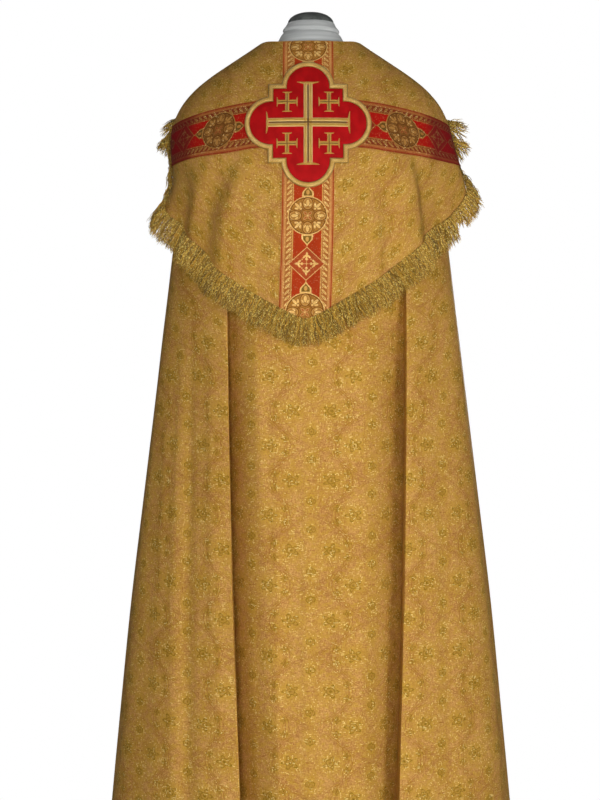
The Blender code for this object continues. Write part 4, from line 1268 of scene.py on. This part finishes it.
def formRadius(azimuth, height):
    own = oval(azimuth, *np.moveaxis(formTable(height), -1, 0), formCut["squareness"])
    seat = clothRadius(azimuth, height) - formCut["seatGap"] * squareShare(azimuth, height)
    return np.minimum(own, seat)


def makeJersey():
    finish = Finish("paleJersey", {"Sheen Weight": 0.2})
    u, v = finish.clothPlace()
    slow = finish.noise(u, v, 180.0, 7.0, 1.0)
    knit = u.ribs(1.3) * 0.5 + v.ribs(1.6) * 0.3
    # the tone follows the level wrinkles in the bump, darker in their troughs: painted shade
    colour = finish.mix(tone(166, 168, 167), tone(186, 188, 186), slow.rise(0.3, 0.7))
    return finish.show(colour, 0.82 + slow * 0.1, None, knit * 0.5 + slow, 0.0003, 0.7)


def coverForm():
    heights = np.unique(np.concatenate([np.linspace(0.800, 1.44, 60), np.linspace(1.44, 1.566, 60)]))[::-1]
    azimuth, height = np.meshgrid(np.linspace(-180, 180, 121)[:-1], heights)
    sway = np.cos(np.radians(azimuth - 60))
    pucker = 0
    for middle, depth, swing, reach in formCut["puckers"]:
        pucker += depth * np.exp(-(((height - middle + swing * sway) / reach) ** 2))
    radius = formRadius(azimuth, height) + pucker * smoothstep((height - 1.530) / 0.012)
    index = np.arange(height.size).reshape(height.shape)
    faces = [*ringFaces(index[:-1], index[1:]).tolist(), index[0].tolist(), index[-1, ::-1].tolist()]
    uv = together(np.radians(azimuth) * 0.12, height)
    cover = newPiece("formCover", polar(azimuth, radius, height), faces, [makeJersey()], uv)
    return dress(cover, "form_torso")


formCover = coverForm()


# Finishes for the form's cap and stand and for the clasp, which keep their own shapes

shapeFinishes = {
    "capSatin": {
        "nodes": ["form_cap"],
        "tones": (tone(58, 60, 59), tone(84, 87, 84)),
        # scale and detail of the patches of tone and of the grain
        "patches": (90.0, 3.0),
        "change": (0.3, 0.7),
        "roughness": (0.36, 0.16),
        "grain": (90.0, 3.0),
        "bump": (0.0002, 0.4),
    },
    "standPaint": {
        "nodes": ["stand_pole", "stand_base"],
        "tones": (tone(38, 38, 40), tone(58, 58, 60)),
        "patches": (9.0, 4.0),
        "change": (0.35, 0.7),
        "roughness": (0.38, 0.14),
        "grain": (420.0, 2.0),
        "bump": (0.00015, 0.5),
    },
    "claspBrass": {
        "nodes": ["clasp_hook", "clasp_eye"],
        "metallic": 1.0,
        "tones": (tone(176, 132, 62), tone(218, 180, 100)),
        "patches": (60.0, 3.0),
        "change": (0.3, 0.7),
        "roughness": (0.26, 0.22),
        "grain": (260.0, 3.0),
        "bump": (0.0001, 0.4),
    },
}


def finishShapes():
    for name, look in shapeFinishes.items():
        finish = Finish(name, {"Metallic": look.get("metallic", 0.0)})
        patches = finish.shapeNoise(*look["patches"])
        colour = finish.mix(*look["tones"], patches.rise(*look["change"]))
        least, more = look["roughness"]
        grain = finish.shapeNoise(*look["grain"])
        material = finish.show(colour, least + patches * more, None, grain, *look["bump"])
        for node in look["nodes"]:
            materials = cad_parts[node].data.materials
            materials.clear()
            materials.append(material)


finishShapes()
print("dress form and clasp finished")


# Pale floor and backdrop, soft studio light

studio = {
    "floorRadius": 16.5,
    "floorHeight": -0.0005,
    "shadowRadius": (0.43, 0.58),
    "wallRadius": 16.0,
    "wallHeights": (-0.3, 14.0),
    "paint": (0.86, 0.86, 0.85, 1.0),
    "white": (1.0, 1.0, 1.0, 1.0),
    "worldLight": 0.12,
    # name, place, aim, size, power
    "lamps": [
        ("keyLamp", (-0.05, -3.6, 0.78), (0.0, 0.0, 0.80), 2.0, 98.0),
        ("fillLamp", (2.2, -2.55, 0.8), (0.0, 0.0, 0.80), 1.6, 43.0),
        ("lowFillLamp", (-2.6, -1.9, 0.8), (0.0, 0.0, 0.80), 1.6, 6.0),
        ("backLamp", (0.3, 3.6, 1.4), (0.0, 0.0, 0.9), 2.0, 112.0),
    ],
}


def stageGlow(name, points, faces, constants):
    # a piece of the stage that glows white and lights nothing
    finish = Finish(name + "Paint", constants)
    glow = finish.add("Emission", None, {"Color": studio["white"], "Strength": 1.0})
    thing = newPiece(name, points, faces, [finish.material], None, None, 0)
    thing.visible_diffuse = thing.visible_glossy = False
    return finish, glow, thing


def surfaceFrom(finish, shader):
    finish.tree.links.new(shader.socket, finish.tree.nodes["Material Output"].inputs["Surface"])


def makeFloor():
    # painted near the stand, where its shadow falls
    disc = polar(np.linspace(-180, 180, 96, endpoint=False), studio["floorRadius"], studio["floorHeight"])
    constants = {"Base Color": studio["paint"], "Roughness": 0.9, "Specular IOR Level": 0.1}
    finish, glow, _ = stageGlow("floor", disc, [list(range(96))], constants)
    away = hypotenuse(*finish.split(finish.shapePlace())).rise(*studio["shadowRadius"])
    paint = Wire(finish, finish.surface.outputs[0])
    surfaceFrom(finish, finish.add("MixShader", None, {0: away, 1: paint, 2: glow}))


def makeBackdrop():
    grid = polar(np.linspace(-180, 180, 97), studio["wallRadius"], np.array(studio["wallHeights"])[:, None])
    finish, glow, wall = stageGlow("backdrop", grid, gridFaces(2, 97).tolist(), {})
    wall.visible_shadow = False
    surfaceFrom(finish, glow)


def makeLamps():
    for name, place, aim, size, power in studio["lamps"]:
        light = bpy.data.lights.new(name, "AREA")
        light.shape, light.size, light.energy = "DISK", size, power
        lamp = addToScene(name, light)
        lamp.location = place
        lamp.rotation_euler = (Vector(aim) - Vector(place)).to_track_quat("-Z", "Y").to_euler()
    world = bpy.data.worlds.new("studio")
    world.use_nodes = True
    back = world.node_tree.nodes["Background"]
    back.inputs["Color"].default_value = studio["white"]
    back.inputs["Strength"].default_value = studio["worldLight"]
    bpy.context.scene.world = world
    bpy.context.scene.view_settings.view_transform = "Standard"


makeFloor()
makeBackdrop()
makeLamps()
print("studio lit")


def plain(box):
    return [[float(value) for value in corner] for corner in box]
